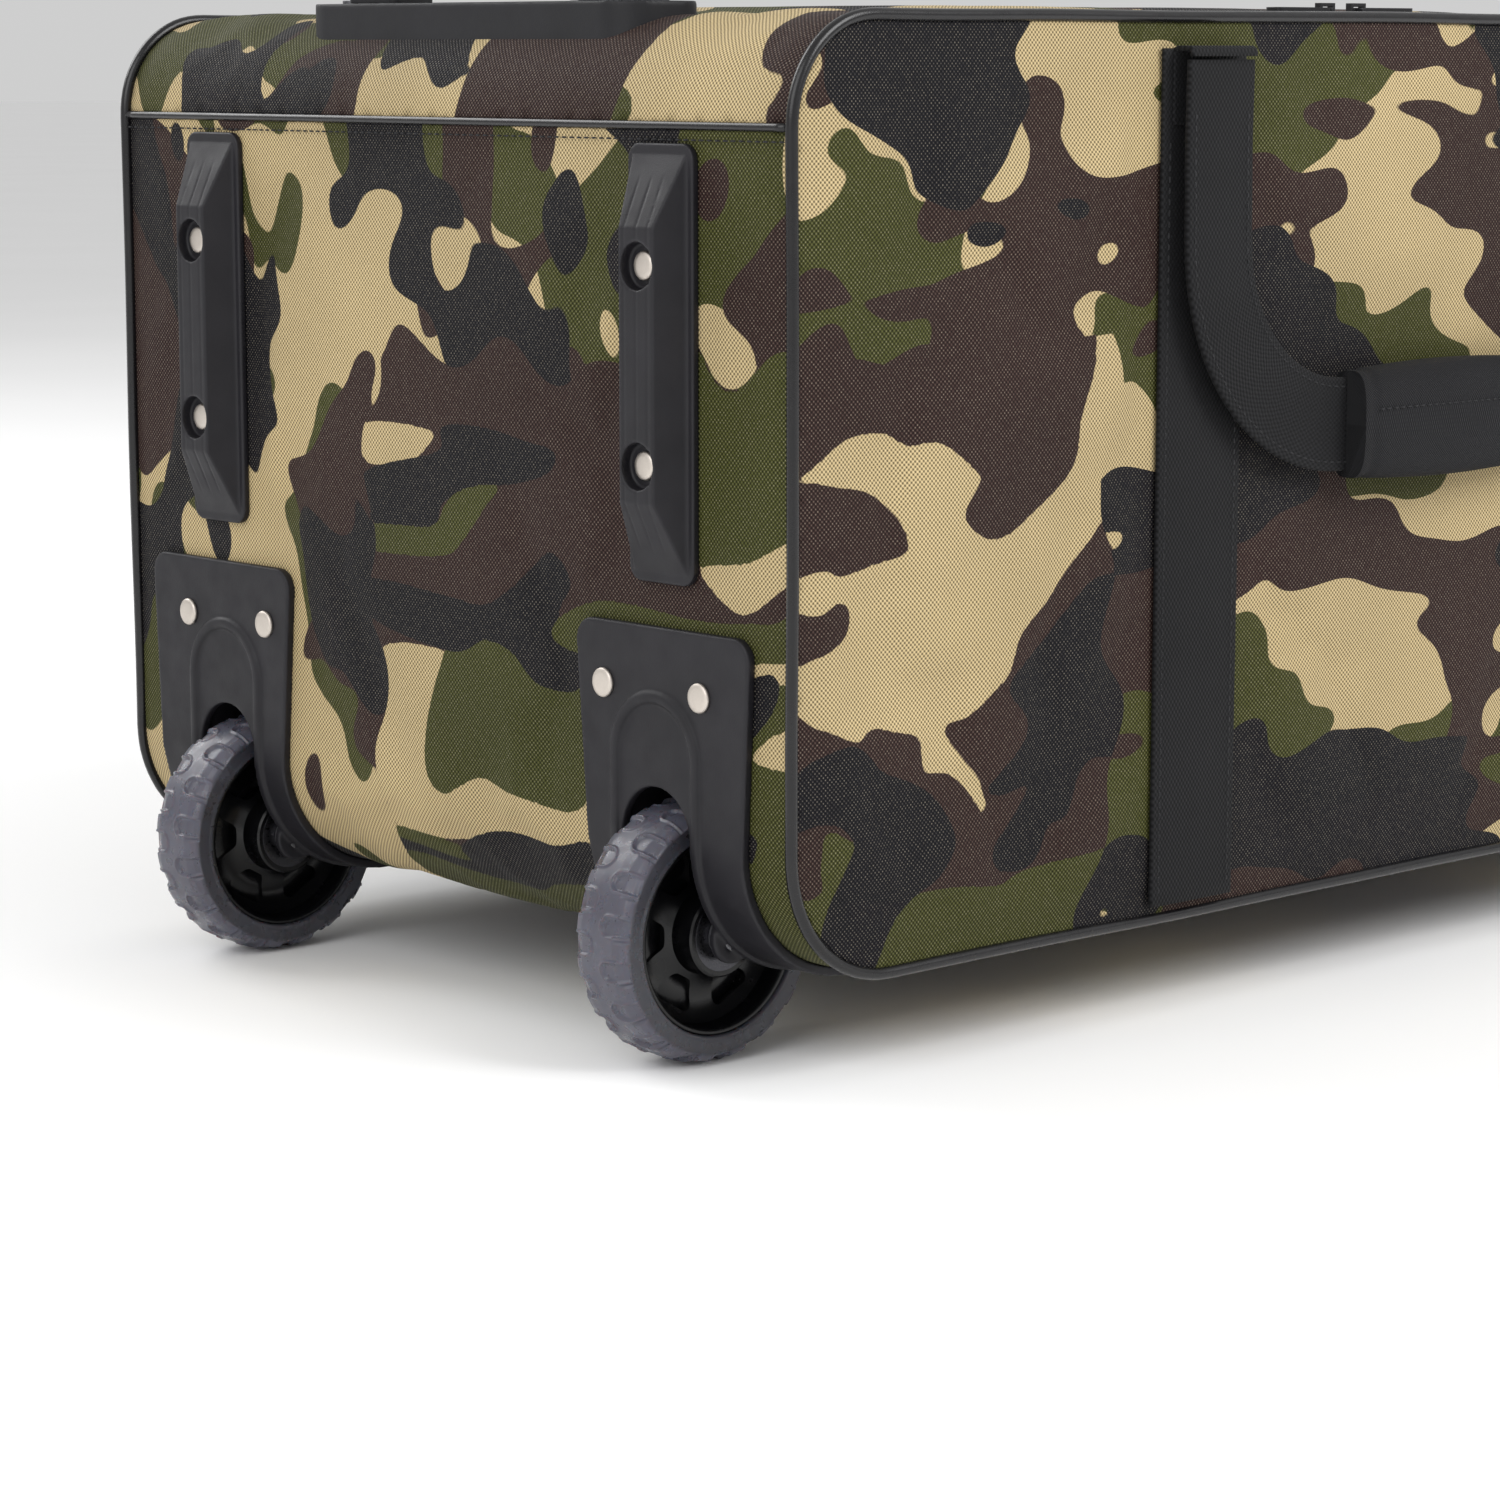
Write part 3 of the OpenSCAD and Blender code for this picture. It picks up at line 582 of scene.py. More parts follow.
# On the end wall they are in distance towards the back from the middle, and height.
END_SHAPES = [
    ("brown", [(-200, -10), (60, -10), (60, 240), (-200, 240)]),
    ("tan", [(30, 184), (-3, 184), (-1, 178), (10, 173), (30, 172)]),
    ("black", [(30, 168), (-7, 177), (-10, 185), (-29, 186), (-50, 183), (-62, 181), (-61, 176),
               (-50, 172), (-32, 169), (-17, 166), (-8, 161), (-3, 154), (30, 152)]),
    ("green", [(30, 152), (-3, 154), (-11, 162), (-20, 167), (-36, 169), (-29, 161), (-19, 151),
               (-8, 145), (30, 144)]),
    ("tan", [(30, 108), (-11, 115), (-30, 100), (-74, 80), (-74, 60), (-31, 58), (-4, 54), (30, 53)]),
    ("green", [(-11, 117), (-19, 124), (-49, 120), (-71, 114), (-73, 75), (-42, 74), (-23, 77), (-7, 70),
               (1, 76), (-1, 94)]),
    ("black", [(30, 134), (-12, 132), (-28, 131), (-41, 137), (-59, 150), (-67, 142), (-61, 131),
               (-72, 121), (-70, 110), (-54, 110), (-41, 119), (-28, 121), (-12, 116), (30, 123)]),
    ("green", [(30, 54), (-8, 52), (-6, 46), (30, 50)]),
    ("black", [(30, 50), (-6, 46), (-8, 52), (-31, 60), (-57, 59), (-74, 62), (-74, 48), (-48, 45),
               (-37, 41), (-15, 41), (30, 44)]),
    ("green", [(30, 44), (-15, 41), (-37, 41), (-48, 45), (-74, 48), (-90, 44), (-90, 10), (30, 10)]),
    ("green", [(-61, 123), (-61, 130), (-77, 137), (-95, 138), (-127, 136), (-156, 138), (-175, 137),
               (-175, 20), (-135, 20), (-135, 118), (-80, 120)]),
    ("green", [(-126, 225), (-175, 225), (-175, 162), (-163, 162), (-150, 155), (-141, 153),
               (-125, 154)]),
    ("tan", [(-126, 151), (-141, 154), (-150, 156), (-165, 163), (-175, 163), (-175, 151), (-165, 151),
             (-149, 141), (-139, 141)]),
    ("tan", [(-148, 125), (-160, 127), (-175, 128), (-175, 122), (-160, 121), (-148, 118)]),
    ("black", [(-146, 104), (-146, 118), (-155, 123), (-159, 120), (-155, 111)]),
    ("tan", [(-175, 109), (-165, 109), (-153, 103), (-150, 97), (-175, 97)]),
    ("black", [(-144, 75), (-150, 74), (-147, 67)]),
]
INKS = ("green", "brown", "black")


def waves(points, seed, longest, shortest, count=26):
    """Smooth random hills, about -2 to 2, between two wavelengths."""
    rng = np.random.default_rng(seed)
    lengths = rng.uniform(shortest, longest, count)
    angles = rng.uniform(0, 2 * np.pi, count)
    shifts = rng.uniform(0, 2 * np.pi, count)
    total = np.zeros(len(points))
    for length, angle, shift in zip(lengths, angles, shifts):
        total += np.sin(2 * np.pi * (points @ (np.cos(angle), np.sin(angle))) / length + shift)
    return total * np.sqrt(2 / count)


def paint(fields, ink, depth):
    """Lays one ink down where depth, in mm, is above zero; the inks printed over it give way."""
    first = INKS.index(ink) if ink in INKS else -1
    for name in INKS[first + 1:]:
        fields[name] = np.minimum(fields[name], -depth)
    if first >= 0:
        lap = 0.6
        fields[ink] = np.maximum(fields[ink], depth + lap)


def rounded(corners, parts=6):
    """A smooth closed curve through the corners."""
    p1 = np.asarray(corners, float)
    p0, p2, p3 = np.roll(p1, 1, 0), np.roll(p1, -1, 0), np.roll(p1, -2, 0)
    t = np.linspace(0, 1, parts, endpoint=False)[:, None, None]
    curve = (2 * p1 + (p2 - p0) * t + (2 * p0 - 5 * p1 + 4 * p2 - p3) * t ** 2
             + (3 * p1 - p0 - 3 * p2 + p3) * t ** 3) / 2
    return curve.transpose(1, 0, 2).reshape(-1, 2)


def shape_depth(points, corners):
    """Depth in mm inside an outline, below zero outside it."""
    reach = 8.0
    line = rounded(corners)
    depth = np.full(len(points), -reach)
    near = np.all((points > line.min(0) - reach) & (points < line.max(0) + reach), axis=1)
    gap = np.minimum(distance_to(points[near], resample(line, 1.0, True)), reach)
    depth[near] = np.where(inside_line(points[near], line), gap, -gap)
    return depth


def camo_fields(flat, seed, known=None, shapes=()):
    """The print's three ink depths at each point; known is the place in mm of the drawn outlines."""
    points = flat * 1000 * (0.8, 1.15)
    fields = {name: np.full(len(points), -50.0) for name in INKS}
    for k, (ink, share) in enumerate((("green", 0.35), ("brown", 0.3), ("black", 0.62))):
        hills = waves(points, seed + 10 * k, 170, 90) + 0.32 * waves(points, seed + 10 * k + 5, 46, 22)
        paint(fields, ink, (hills - share) * 16)
    if known is not None:
        place, inside = known
        inside = inside + 5 * waves(place, 73, 70, 35)
        paint(fields, "tan", inside)
        for ink, corners in shapes:
            paint(fields, ink, np.minimum(shape_depth(place, corners), inside))
    return fields


# Cut cloth

def inside_line(points, line):
    """Which points lie inside a closed line."""
    result = np.zeros(len(points), bool)
    x, y = points[:, 0], points[:, 1]
    for (x0, y0), (x1, y1) in zip(line, np.roll(line, -1, 0)):
        if y0 == y1:
            continue
        crosses = (y0 > y) != (y1 > y)
        result ^= crosses & (x < (x1 - x0) * (y - y0) / (y1 - y0) + x0)
    return result


def distance_to(points, line):
    """Distance from each point to the nearest point of a line."""
    best = np.full(len(points), 9e9)
    for start in range(0, len(line), 200):
        gap = points[:, None] - line[None, start:start + 200]
        best = np.minimum(best, np.sqrt((gap ** 2).sum(2)).min(1))
    return best


def cut(outline, holes, spacing):
    """Flat cloth cut to an outline with holes: its points and its triangles."""
    edges = [outline, *holes]
    low, high = outline.min(0), outline.max(0)
    rows = np.arange(low[1], high[1], spacing * 0.866)
    columns = np.arange(low[0], high[0], spacing)
    grid = np.array([(x + spacing / 2 * (i % 2), y) for i, y in enumerate(rows) for x in columns])
    keep = inside_line(grid, outline)
    for hole in holes:
        keep &= ~inside_line(grid, hole)
    keep &= distance_to(grid, np.vstack(edges)) > spacing * 0.6
    points = [*map(tuple, np.vstack(edges)), *map(tuple, grid[keep])]
    joins = []
    start = 0
    for line in edges:
        joins += [(start + k, start + (k + 1) % len(line)) for k in range(len(line))]
        start += len(line)
    made = geometry.delaunay_2d_cdt([Vector(p) for p in points], joins, [], 0, 1e-6)
    flat = np.array([tuple(v) for v in made[0]])
    faces = np.array([f for f in made[2] if len(f) == 3])
    middle = flat[faces].mean(1)
    keep = inside_line(middle, outline)
    for hole in holes:
        keep &= ~inside_line(middle, hole)
    return flat, faces[keep]


CELL = 6.5 * MM
sheets = []


def add_sheet(name, outline, holes, place, normal, bulge, seed, known=None, shapes=()):
    """Cuts a sheet, sets it in place and notes how far the simulation may move each point."""
    flat, faces = cut(outline, holes, CELL)
    points = place(flat)
    obj = mesh_object(name, points, faces, materials["camo_fabric"])
    if obj.data.polygons[len(faces) // 2].normal @ Vector(normal(points)[faces[len(faces) // 2][0]]) < 0:
        obj.data.flip_normals()
    cloth_uv(obj, flat)
    edge = distance_to(flat, np.vstack([outline, *holes]))
    sheets.append({"obj": obj, "flat": flat, "rest": points, "normal": normal(points), "edge": edge,
                   "bulge": bulge(points, edge), "seed": seed, "known": known, "shapes": shapes})
    return obj


def simulate():
    """Lets all the sheets settle together, each pinned along its seams and under its hard parts."""
    scene = bpy.context.scene
    scene.frame_start = 1
    scene.frame_end = 20
    for s in sheets:
        obj = s["obj"]
        inner = np.clip(s["edge"] / (20 * MM), 0, 1)
        rough = waves(s["flat"] * 1000, s["seed"] + 90, 70, 30) * 0.35 * MM * inner
        held = s["bulge"] < 0.3 * MM
        rough[held] = 0
        moved = s["rest"] + s["normal"] * rough[:, None]
        obj.data.vertices.foreach_set("co", moved.astype(np.float32).ravel())
        pins = obj.vertex_groups.new(name="pins")
        pins.add([int(i) for i in np.flatnonzero(held)], 1.0, "REPLACE")
        cloth = obj.modifiers.new("cloth", "CLOTH")
        cloth.settings.quality = 5
        cloth.settings.mass = 0.25
        cloth.settings.tension_stiffness = 20
        cloth.settings.compression_stiffness = 20
        cloth.settings.shear_stiffness = 8
        cloth.settings.bending_stiffness = 0.6
        cloth.settings.shrink_min = -0.012
        cloth.settings.use_pressure = True
        cloth.settings.uniform_pressure_force = 1.2
        cloth.settings.vertex_group_mass = "pins"
        cloth.settings.effector_weights.gravity = 0
        cloth.collision_settings.use_collision = False
        cloth.point_cache.frame_start = 1
        cloth.point_cache.frame_end = 20
    for number in range(1, 21):
        scene.frame_set(number)
    graph = bpy.context.evaluated_depsgraph_get()
    for s in sheets:
        evaluated = s["obj"].evaluated_get(graph)
        settled = np.zeros(len(evaluated.data.vertices) * 3, np.float32)
        evaluated.data.vertices.foreach_get("co", settled)
        s["moved"] = settled.reshape(-1, 3) - s["rest"]
    for s in sheets:
        s["obj"].modifiers.clear()
    scene.frame_set(1)


def finish_sheets():
    """Caps the movement, subdivides, prints the camouflage and gives the cloth its thickness."""
    for s in sheets:
        obj = s["obj"]
        out = (s["moved"] * s["normal"]).sum(1)
        room = np.maximum(s["bulge"], 0.01 * MM)
        out = np.where(out > 0, room * np.tanh(out / room), -0.4 * room * np.tanh(-out / room))
        along = s["moved"] - (s["moved"] * s["normal"]).sum(1)[:, None] * s["normal"]
        reach = np.linalg.norm(along, axis=1)[:, None]
        limit = np.minimum(room, 1 * MM)[:, None]
        along = along * np.minimum(1, limit / np.maximum(reach, 1e-9))
        pucker = np.sin(2 * np.pi * s["flat"].sum(1) / (11 * MM)) * np.exp(-s["edge"] / (7 * MM)) * 0.3 * MM
        pucker[s["bulge"] <= 0] = 0
        final = s["rest"] + s["normal"] * (out + pucker)[:, None] + along
        obj.data.vertices.foreach_set("co", final.astype(np.float32).ravel())
        finer = obj.modifiers.new("finer", "SUBSURF")
        finer.levels = 2 if s["known"] else 1
        finer.render_levels = finer.levels
        finer.boundary_smooth = "PRESERVE_CORNERS"
        keep_result(obj)
        print_camo(obj, s)
        thick = obj.modifiers.new("thick", "SOLIDIFY")
        thick.thickness = FABRIC
        thick.offset = -1
        obj.data.materials.append(materials["lining"])
        thick.material_offset = 1
        keep_result(obj)
        obj.data.shade_smooth()


def print_camo(obj, s):
    count = len(obj.data.vertices)
    points = np.zeros(count * 3, np.float32)
    obj.data.vertices.foreach_get("co", points)
    points = points.reshape(-1, 3).astype(float)
    loops = np.zeros(len(obj.data.loops), int)
    obj.data.loops.foreach_get("vertex_index", loops)
    uv = np.zeros(len(loops) * 2, np.float32)
    obj.data.uv_layers["cloth"].data.foreach_get("uv", uv)
    flat = np.zeros((count, 2))
    flat[loops] = uv.reshape(-1, 2)
    known = s["known"](points) if s["known"] else None
    for name, depth in camo_fields(flat, s["seed"], known, s["shapes"]).items():
        layer = obj.data.attributes.new(name, "FLOAT", "POINT")
        layer.data.foreach_set("value", np.clip(depth, -6, 6).astype(np.float32))


# Shell of the bag

def body_line(inset, step):
    """The body's side view as a closed line of (x, z)."""
    a, b, low, high = END_X + inset, FAR_X - inset, UNDER_Z + inset, TOP_Z - inset
    return fillet([(a, low), (b, low), (b, high), (a, high)],
                  [LOW_R - inset, LOW_R - inset, TOP_R - inset, TOP_R - inset], step)


def ease(value, start, end):
    t = np.clip((value - start) / (end - start), 0, 1)
    return t * t * (3 - 2 * t)


def clear_of(points, low, high, ramp=22 * MM, axes=(0, 1, 2)):
    """0 inside a box and rising to 1 away from it."""
    gap = np.zeros(len(points))
    for k in axes:
        gap = np.maximum(gap, np.maximum(low[k] - points[:, k], points[:, k] - high[k]))
    return ease(gap, 2 * MM, ramp)


def end_corner_known(points):
    """Print places on the end wall, and the depth inside the part with drawn outlines."""
    place = np.column_stack([points[:, 1], points[:, 2]]) * 1000
    in_x = (points[:, 0] - END_X) * 1000
    inside = np.minimum(np.minimum(24 - place[:, 0], 208 - place[:, 1]), 38 - in_x)
    return place, inside


def side_corner_known(points):
    """Print places on the front side panel, and the depth inside the part with drawn outlines."""
    place = np.column_stack([points[:, 0] - END_X, points[:, 2]]) * 1000
    return place, np.minimum(130 - place[:, 0], 215 - place[:, 1])


def strap_boxes(side):
    """The boxes of the straps sewn to one side."""
    return solids_of("webbing_" + side)


def side_panel(side):
    sign = SIDES[side]
    outline = body_line(1.6 * MM, CELL)
    if side == "back":
        outline = outline[::-1]
    straps = strap_boxes(side)

    def place(flat):
        edge = distance_to(flat, body_line(1.6 * MM, 2 * MM))
        proud = ease(edge, 0, 14 * MM) * (SIDE_Y - SEAM_Y)
        return np.column_stack([flat[:, 0], sign * (SEAM_Y + proud), flat[:, 1]])

    def normal(points):
        return np.tile((0.0, float(sign), 0.0), (len(points), 1))

    def bulge(points, edge):
        low_part = 1 - 0.4 * ease(points[:, 2], UNDER_Z + 60 * MM, TOP_Z)
        amount = 4.5 * MM * ease(edge, 1 * MM, 60 * MM) * low_part
        for low, high in straps:
            amount *= clear_of(points, low, high, axes=(0, 2))
        hang = clear_of(points, (-0.07, 0, 0.155), (0.07, 0, 0.21), 30 * MM, (0, 2))
        amount *= 0.25 + 0.75 * hang
        if side == "back":
            amount *= clear_of(points, pocket_low, pocket_high, axes=(0, 2))
        return amount

    known = side_corner_known if side == "front" else None
    shapes = SIDE_SHAPES if side == "front" else ()
    panel = add_sheet("side_panel_cloth_" + side, outline, [], place, normal, bulge,
                      101 if side == "front" else 202, known=known, shapes=shapes)
    return panel


def band_path(upper):
    """The side view line that the wall band follows: the lower band, or the top panel's."""
    line = body_line(0, 1 * MM)
    inside = line[:, 1] > BAND_TOP if upper else line[:, 1] <= BAND_TOP
    first = np.flatnonzero(inside & ~np.roll(inside, 1))[0]
    part = np.roll(line, -first, 0)[:inside.sum()]
    ends = [(FAR_X, BAND_TOP), (END_X, BAND_TOP)]
    start = min(ends, key=lambda p: np.hypot(*(part[0] - p)))
    end = max(ends, key=lambda p: np.hypot(*(part[0] - p)))
    return np.vstack([start, part, end])


def band_tools(upper):
    """Maps between the band's flat cloth, along it and across the bag, and its place."""
    path = band_path(upper)
    if path[0][0] > path[-1][0]:
        path = path[::-1]
    lengths = np.r_[0, np.cumsum(np.linalg.norm(np.diff(path, axis=0), axis=1))]

    def place(flat):
        x = np.interp(flat[:, 0], lengths, path[:, 0])
        z = np.interp(flat[:, 0], lengths, path[:, 1])
        dip = 1.2 * MM * (1 - ease(SIDE_Y - np.abs(flat[:, 1]), 0, 12 * MM))
        inward = band_normal(np.column_stack([x, flat[:, 1], z]))
        return np.column_stack([x, flat[:, 1], z]) - inward * dip[:, None]

    def flat_of(x):
        """Distance along the band of a point with this x on its level stretch."""
        level = path[:, 1].max() if upper else path[:, 1].min()
        on = np.abs(path[:, 1] - level) < 1e-6
        return float(np.interp(x, path[on, 0], lengths[on]))

    return place, flat_of, lengths[-1]


def band_normal(points):
    """Outward direction of the body's side view outline at each point."""
    x, z = points[:, 0], points[:, 2]
    r = np.where(z < (UNDER_Z + TOP_Z) / 2, LOW_R, TOP_R)
    core_x = np.clip(x, END_X + r, FAR_X - r)
    core_z = np.clip(z, UNDER_Z + LOW_R, TOP_Z - TOP_R)
    out = np.column_stack([x - core_x, np.zeros(len(x)), z - core_z])
    length = np.linalg.norm(out, axis=1)[:, None]
    return out / np.maximum(length, 1e-9)


def rectangle(u0, u1, v0, v1, step):
    return fillet([(u0, v0), (u1, v0), (u1, v1), (u0, v1)], 0, step)


def gusset_cloth():
    place, _, length = band_tools(False)
    half = SEAM_Y
    outline = rectangle(0, length, -half, half, CELL)
    slot_half = 19 * MM
    slot_top = BAND_TOP - 92 * MM
    holes = [rectangle(slot_top, slot_top + 112 * MM, s * WHEEL_Y - slot_half, s * WHEEL_Y + slot_half, CELL)
             for s in (-1, 1)]
    feet = [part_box("foot_front"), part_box("foot_back")]

    def bulge(points, edge):
        amount = 3.2 * MM * ease(edge, 1 * MM, 55 * MM)
        for s in (-1, 1):
            for low, high in ((plate_low, plate_high), (rail_low, rail_high)):
                low, high = low.copy(), high.copy()
                if s > 0:
                    low.y, high.y = -high.y, -low.y
                amount *= clear_of(points, low, high)
        for low, high in feet:
            amount *= clear_of(points, low, high)
        grab_low, grab_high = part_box("grab_strap")
        return amount * clear_of(points, grab_low, grab_high)

    return add_sheet("gusset_cloth", outline, holes, place, band_normal, bulge, 303,
                     known=end_corner_known, shapes=END_SHAPES)


def opening_line(inset, step, closed=True):
    """Plan of the top opening from its hinge side round the zip and back."""
    x0 = frame_tape_low.x + inset
    x1 = frame_tape_high.x - inset
    y0 = frame_tape_low.y + inset
    r = OPEN_R - inset
    corners = [(x0, HINGE_Y), (x0, y0), (x1, y0), (x1, HINGE_Y)]
    return fillet(corners, [0, r, r, 0], step, closed)


def top_cloth():
    place, flat_of, length = band_tools(True)
    outline = rectangle(0, length, -SEAM_Y, SEAM_Y, CELL)
    opening = opening_line(0, CELL)
    opening = np.column_stack([[flat_of(x) for x in opening[:, 0]], opening[:, 1]])
    trim = 1.5 * MM
    x0, x1 = flat_of(bezel_low.x + trim), flat_of(bezel_high.x - trim)
    half = bezel_high.y - trim
    bezel_hole = fillet([(x0, -half), (x1, -half), (x1, half), (x0, half)], 12 * MM, CELL)

    def bulge(points, edge):
        amount = 2.2 * MM * ease(edge, 1 * MM, 40 * MM)
        return amount * clear_of(points, bezel_low, bezel_high, 16 * MM, (0, 1))

    return add_sheet("top_panel_cloth", outline, [opening, bezel_hole], place, band_normal, bulge, 404)


def lid_cloth():
    """The lid panel, running on under the top panel at its hinge side."""
    tuck = 5 * MM
    x0, x1, y0 = lid_low.x, lid_high.x, lid_low.y
    r = 18 * MM
    outline = fillet([(x0, HINGE_Y + tuck), (x0, y0), (x1, y0), (x1, HINGE_Y + tuck)], [0, r, r, 0], CELL)

    def place(flat):
        sink = 1.9 * MM * ease(flat[:, 1], HINGE_Y - 4 * MM, HINGE_Y)
        return np.column_stack([flat, TOP_Z - sink])

    def normal(points):
        return np.tile((0.0, 0.0, 1.0), (len(points), 1))

    def bulge(points, edge):
        amount = 4 * MM * ease(edge, 2 * MM, 60 * MM)
        return amount * (1 - ease(points[:, 1], HINGE_Y - 20 * MM, HINGE_Y - 6 * MM))

    return add_sheet("lid_cloth", outline, [], place, normal, bulge, 505)


def pocket_cloth():
    """The pocket's crowned front, from its seam out to the zip's level."""
    x0, x1, z0, z1 = pocket_low.x, pocket_high.x, pocket_low.z, pocket_high.z
    outline = fillet([(x0, z0), (x0, z1), (x1, z1), (x1, z0)], 14 * MM, CELL * 0.8)
    dense = fillet([(x0, z0), (x0, z1), (x1, z1), (x1, z0)], 14 * MM, 1.5 * MM)
    rise = pocket_high.y - pocket_low.y - 1 * MM

    def place(flat):
        edge = distance_to(flat, dense)
        up = rise * (1 - (1 - np.clip(edge / (13 * MM), 0, 1)) ** 2.2)
        return np.column_stack([flat[:, 0], pocket_low.y + 0.6 * MM + up, flat[:, 1]])

    def normal(points):
        return np.tile((0.0, 1.0, 0.0), (len(points), 1))

    def bulge(points, edge):
        below_zip = 1 - ease(points[:, 2], z1 - 34 * MM, z1 - 24 * MM)
        return 2.5 * MM * ease(edge, 12 * MM, 40 * MM) * below_zip

    return add_sheet("pocket_cloth", outline, [], place, normal, bulge, 606)


def make_shell():
    pieces = {"front": side_panel("front"), "back": side_panel("back")}
    gusset = gusset_cloth()
    top = top_cloth()
    lid = lid_cloth()
    pocket = pocket_cloth()
    simulate()
    finish_sheets()
    for side, panel in pieces.items():
        finish_piece(panel, "bag", "camo_fabric", "side_panel_" + side)
    _, _, band_length = band_tools(False)
    finish_piece(gusset, "bag", "camo_fabric", "gusset")
    _, _, top_length = band_tools(True)
    finish_piece(top, "bag", "camo_fabric", "top_panel")
    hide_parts("lid_panel")
    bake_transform(lid)
    finish_piece(pocket, "bag", "camo_fabric", "pocket_panel")


# Seams

def bead(name, path, r, material, body, slot, *nodes):
    """A round cord along a closed line."""
    cord = sweep(name, path, (0, 1, 0), circle_profile(r), material, closed=True)
    return finish_piece(cord, body, slot, *nodes)


def make_piping():
    for side, sign in SIDES.items():
        line = body_line(0.6 * MM, 3 * MM)
        flat = line * 1000
        sway = waves(flat, 700 + sign, 140, 60, 12) * 0.3 * MM
        path = np.column_stack([line[:, 0], sign * (SIDE_Y - 1.4 * MM) + sway * 0.5, line[:, 1]])
        path += band_normal(path) * (sway * 0.6)[:, None]
        bead("piping_cord_" + side, path, 1.9 * MM, materials["piping"], "bag", "piping", "piping_" + side)
    half = SEAM_Y - 2 * MM
    for name, x, out in (("near", END_X, -1), ("far", FAR_X, 1)):
        line = resample([(x, -half, BAND_TOP), (x, half, BAND_TOP)], 4 * MM, False)
        binding = sweep("top_seam_" + name, line, (0, 0, 1), circle_profile(1.3 * MM), materials["piping"])
        finish_piece(binding, "bag", "piping")
        row = line + (out * 1.0 * MM, 0, -4 * MM)
        stitches("top_seam_stitches_" + name, row, (out, 0, 0), "bag")


def stitches(name, path, facing, body, pitch=3.4 * MM, length=2.3 * MM):
    """A row of short threads lying along a line."""
    path = resample(np.asarray(path, float), pitch, False)
    verts = []
    faces = []
    facing = np.asarray(facing, float)
    ring = circle_profile(0.28 * MM, 6)
    for p, q in zip(path[:-1], path[1:]):
        along = (q - p) / max(np.linalg.norm(q - p), 1e-9)
        over = np.cross(along, facing)
        base = len(verts)
        for t, sink, size in ((0, 0.3, 0.4), (0.25, 0, 1), (0.75, 0, 1), (1, 0.3, 0.4)):
            middle = p + along * length * t - facing * sink * MM
            verts += [middle + size * (a * over + b * facing) for a, b in ring]
        faces += grid_faces(4, 6, first=base)
        faces.append(tuple(base + m for m in range(6)))
        faces.append(tuple(base + 18 + m for m in range(5, -1, -1)))
    row = mesh_object(name, verts, faces, materials["thread"])
    outward(row)
    cloth_uv(row, np.array(verts)[:, :2])
    return finish_piece(row, body, "webbing")


# Zips

def zip_tape(name, near, far, body, node):
    """One tape of the main zip, flat between two insets of the opening."""
    z = frame_tape_low.z + 0.2 * MM
    a = opening_line(near, 3 * MM, False)
    b = opening_line(far, 3 * MM, False)
    b = np.column_stack([np.interp(np.linspace(0, 1, len(a)), np.linspace(0, 1, len(b)), b[:, k])
                         for k in range(2)])
    thick = 0.8 * MM
    ring = [np.column_stack([line, np.full(len(line), height)])
            for line, height in ((a, z), (b, z), (b, z + thick), (a, z + thick))]
    verts = np.stack(ring, 1).reshape(-1, 3)
    faces = grid_faces(len(a), 4)
    faces += [(0, 1, 2, 3), tuple(4 * len(a) - k for k in (1, 2, 3, 4))]
    tape = mesh_object(name, verts, faces, materials["zip_tape"], smooth=False)
    outward(tape)
    cloth_uv(tape, verts[:, :2])
    finish_piece(tape, body, "zip_tape", node)


def teeth(name, path, across, rise, shift, body, slot):
    """Zip coil loops at an even pitch along a line; each one reaches across the seam."""
    pitch = 2.4 * MM
    path = resample(np.asarray(path, float), pitch, False)
    verts = []
    faces = []
    corners = [(-1, -1), (1, -1), (1, 1), (-1, 1)]
    for i in range(len(path) - 1):
        along = path[i + 1] - path[i]
        along = along / np.linalg.norm(along)
        side = np.cross(rise, along) * across
        base = len(verts)
        middle = path[i] + along * shift
        for height, size in ((-0.4, 1.0), (0.3, 1.0), (0.62, 0.55)):
            for a, b in corners:
                verts.append(middle + along * a * 0.55 * MM * size + side * (0.7 + b * 1.5 * size) * MM
                             + np.asarray(rise) * height * MM)
        faces += grid_faces(3, 4, first=base)
        faces.append(tuple(base + m for m in range(3, -1, -1)))
        faces.append(tuple(base + 8 + m for m in range(4)))
    row = mesh_object(name, verts, faces, materials["collar"], smooth=False)
    outward(row)
    return finish_piece(row, body, slot)


def make_zips():
    zip_w = 22 * MM
    gap = 0.3 * MM
    zip_tape("frame_zip_tape", -4 * MM, zip_w / 2 - gap, "bag", "zip_frame_half")
    zip_tape("lid_zip_tape", zip_w / 2 + gap, zip_w + 4 * MM, "lid", "zip_lid_half")
    seam = opening_line(zip_w / 2, 2 * MM, False)
    path = np.column_stack([seam, np.full(len(seam), frame_tape_low.z + 1.4 * MM)])
    teeth("frame_zip_teeth", path, 1, (0, 0, 1), 0, "bag", "zip_tape")
    teeth("lid_zip_teeth", path, -1, (0, 0, 1), 1.2 * MM, "lid", "zip_tape")
    low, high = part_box("pocket_zip")
    middle = (low.z + high.z) / 2
    line = [(low.x, (low.y + high.y) / 2, middle), (high.x, (low.y + high.y) / 2, middle)]
    tape = sweep("pocket_zip_tape", resample(line, 4 * MM, False), (0, 0, 1),
                 strip_profile(high.z - low.z, 0.8 * MM), materials["zip_tape"])
    finish_piece(tape, "bag", "zip_tape", "pocket_zip")
    coil = [(p[0], high.y - 0.5 * MM, p[2]) for p in line]
    teeth("pocket_zip_teeth_upper", coil, 1, (0, 1, 0), 0, "bag", "zip_tape")
    teeth("pocket_zip_teeth_lower", coil, -1, (0, 1, 0), 1.2 * MM, "bag", "zip_tape")


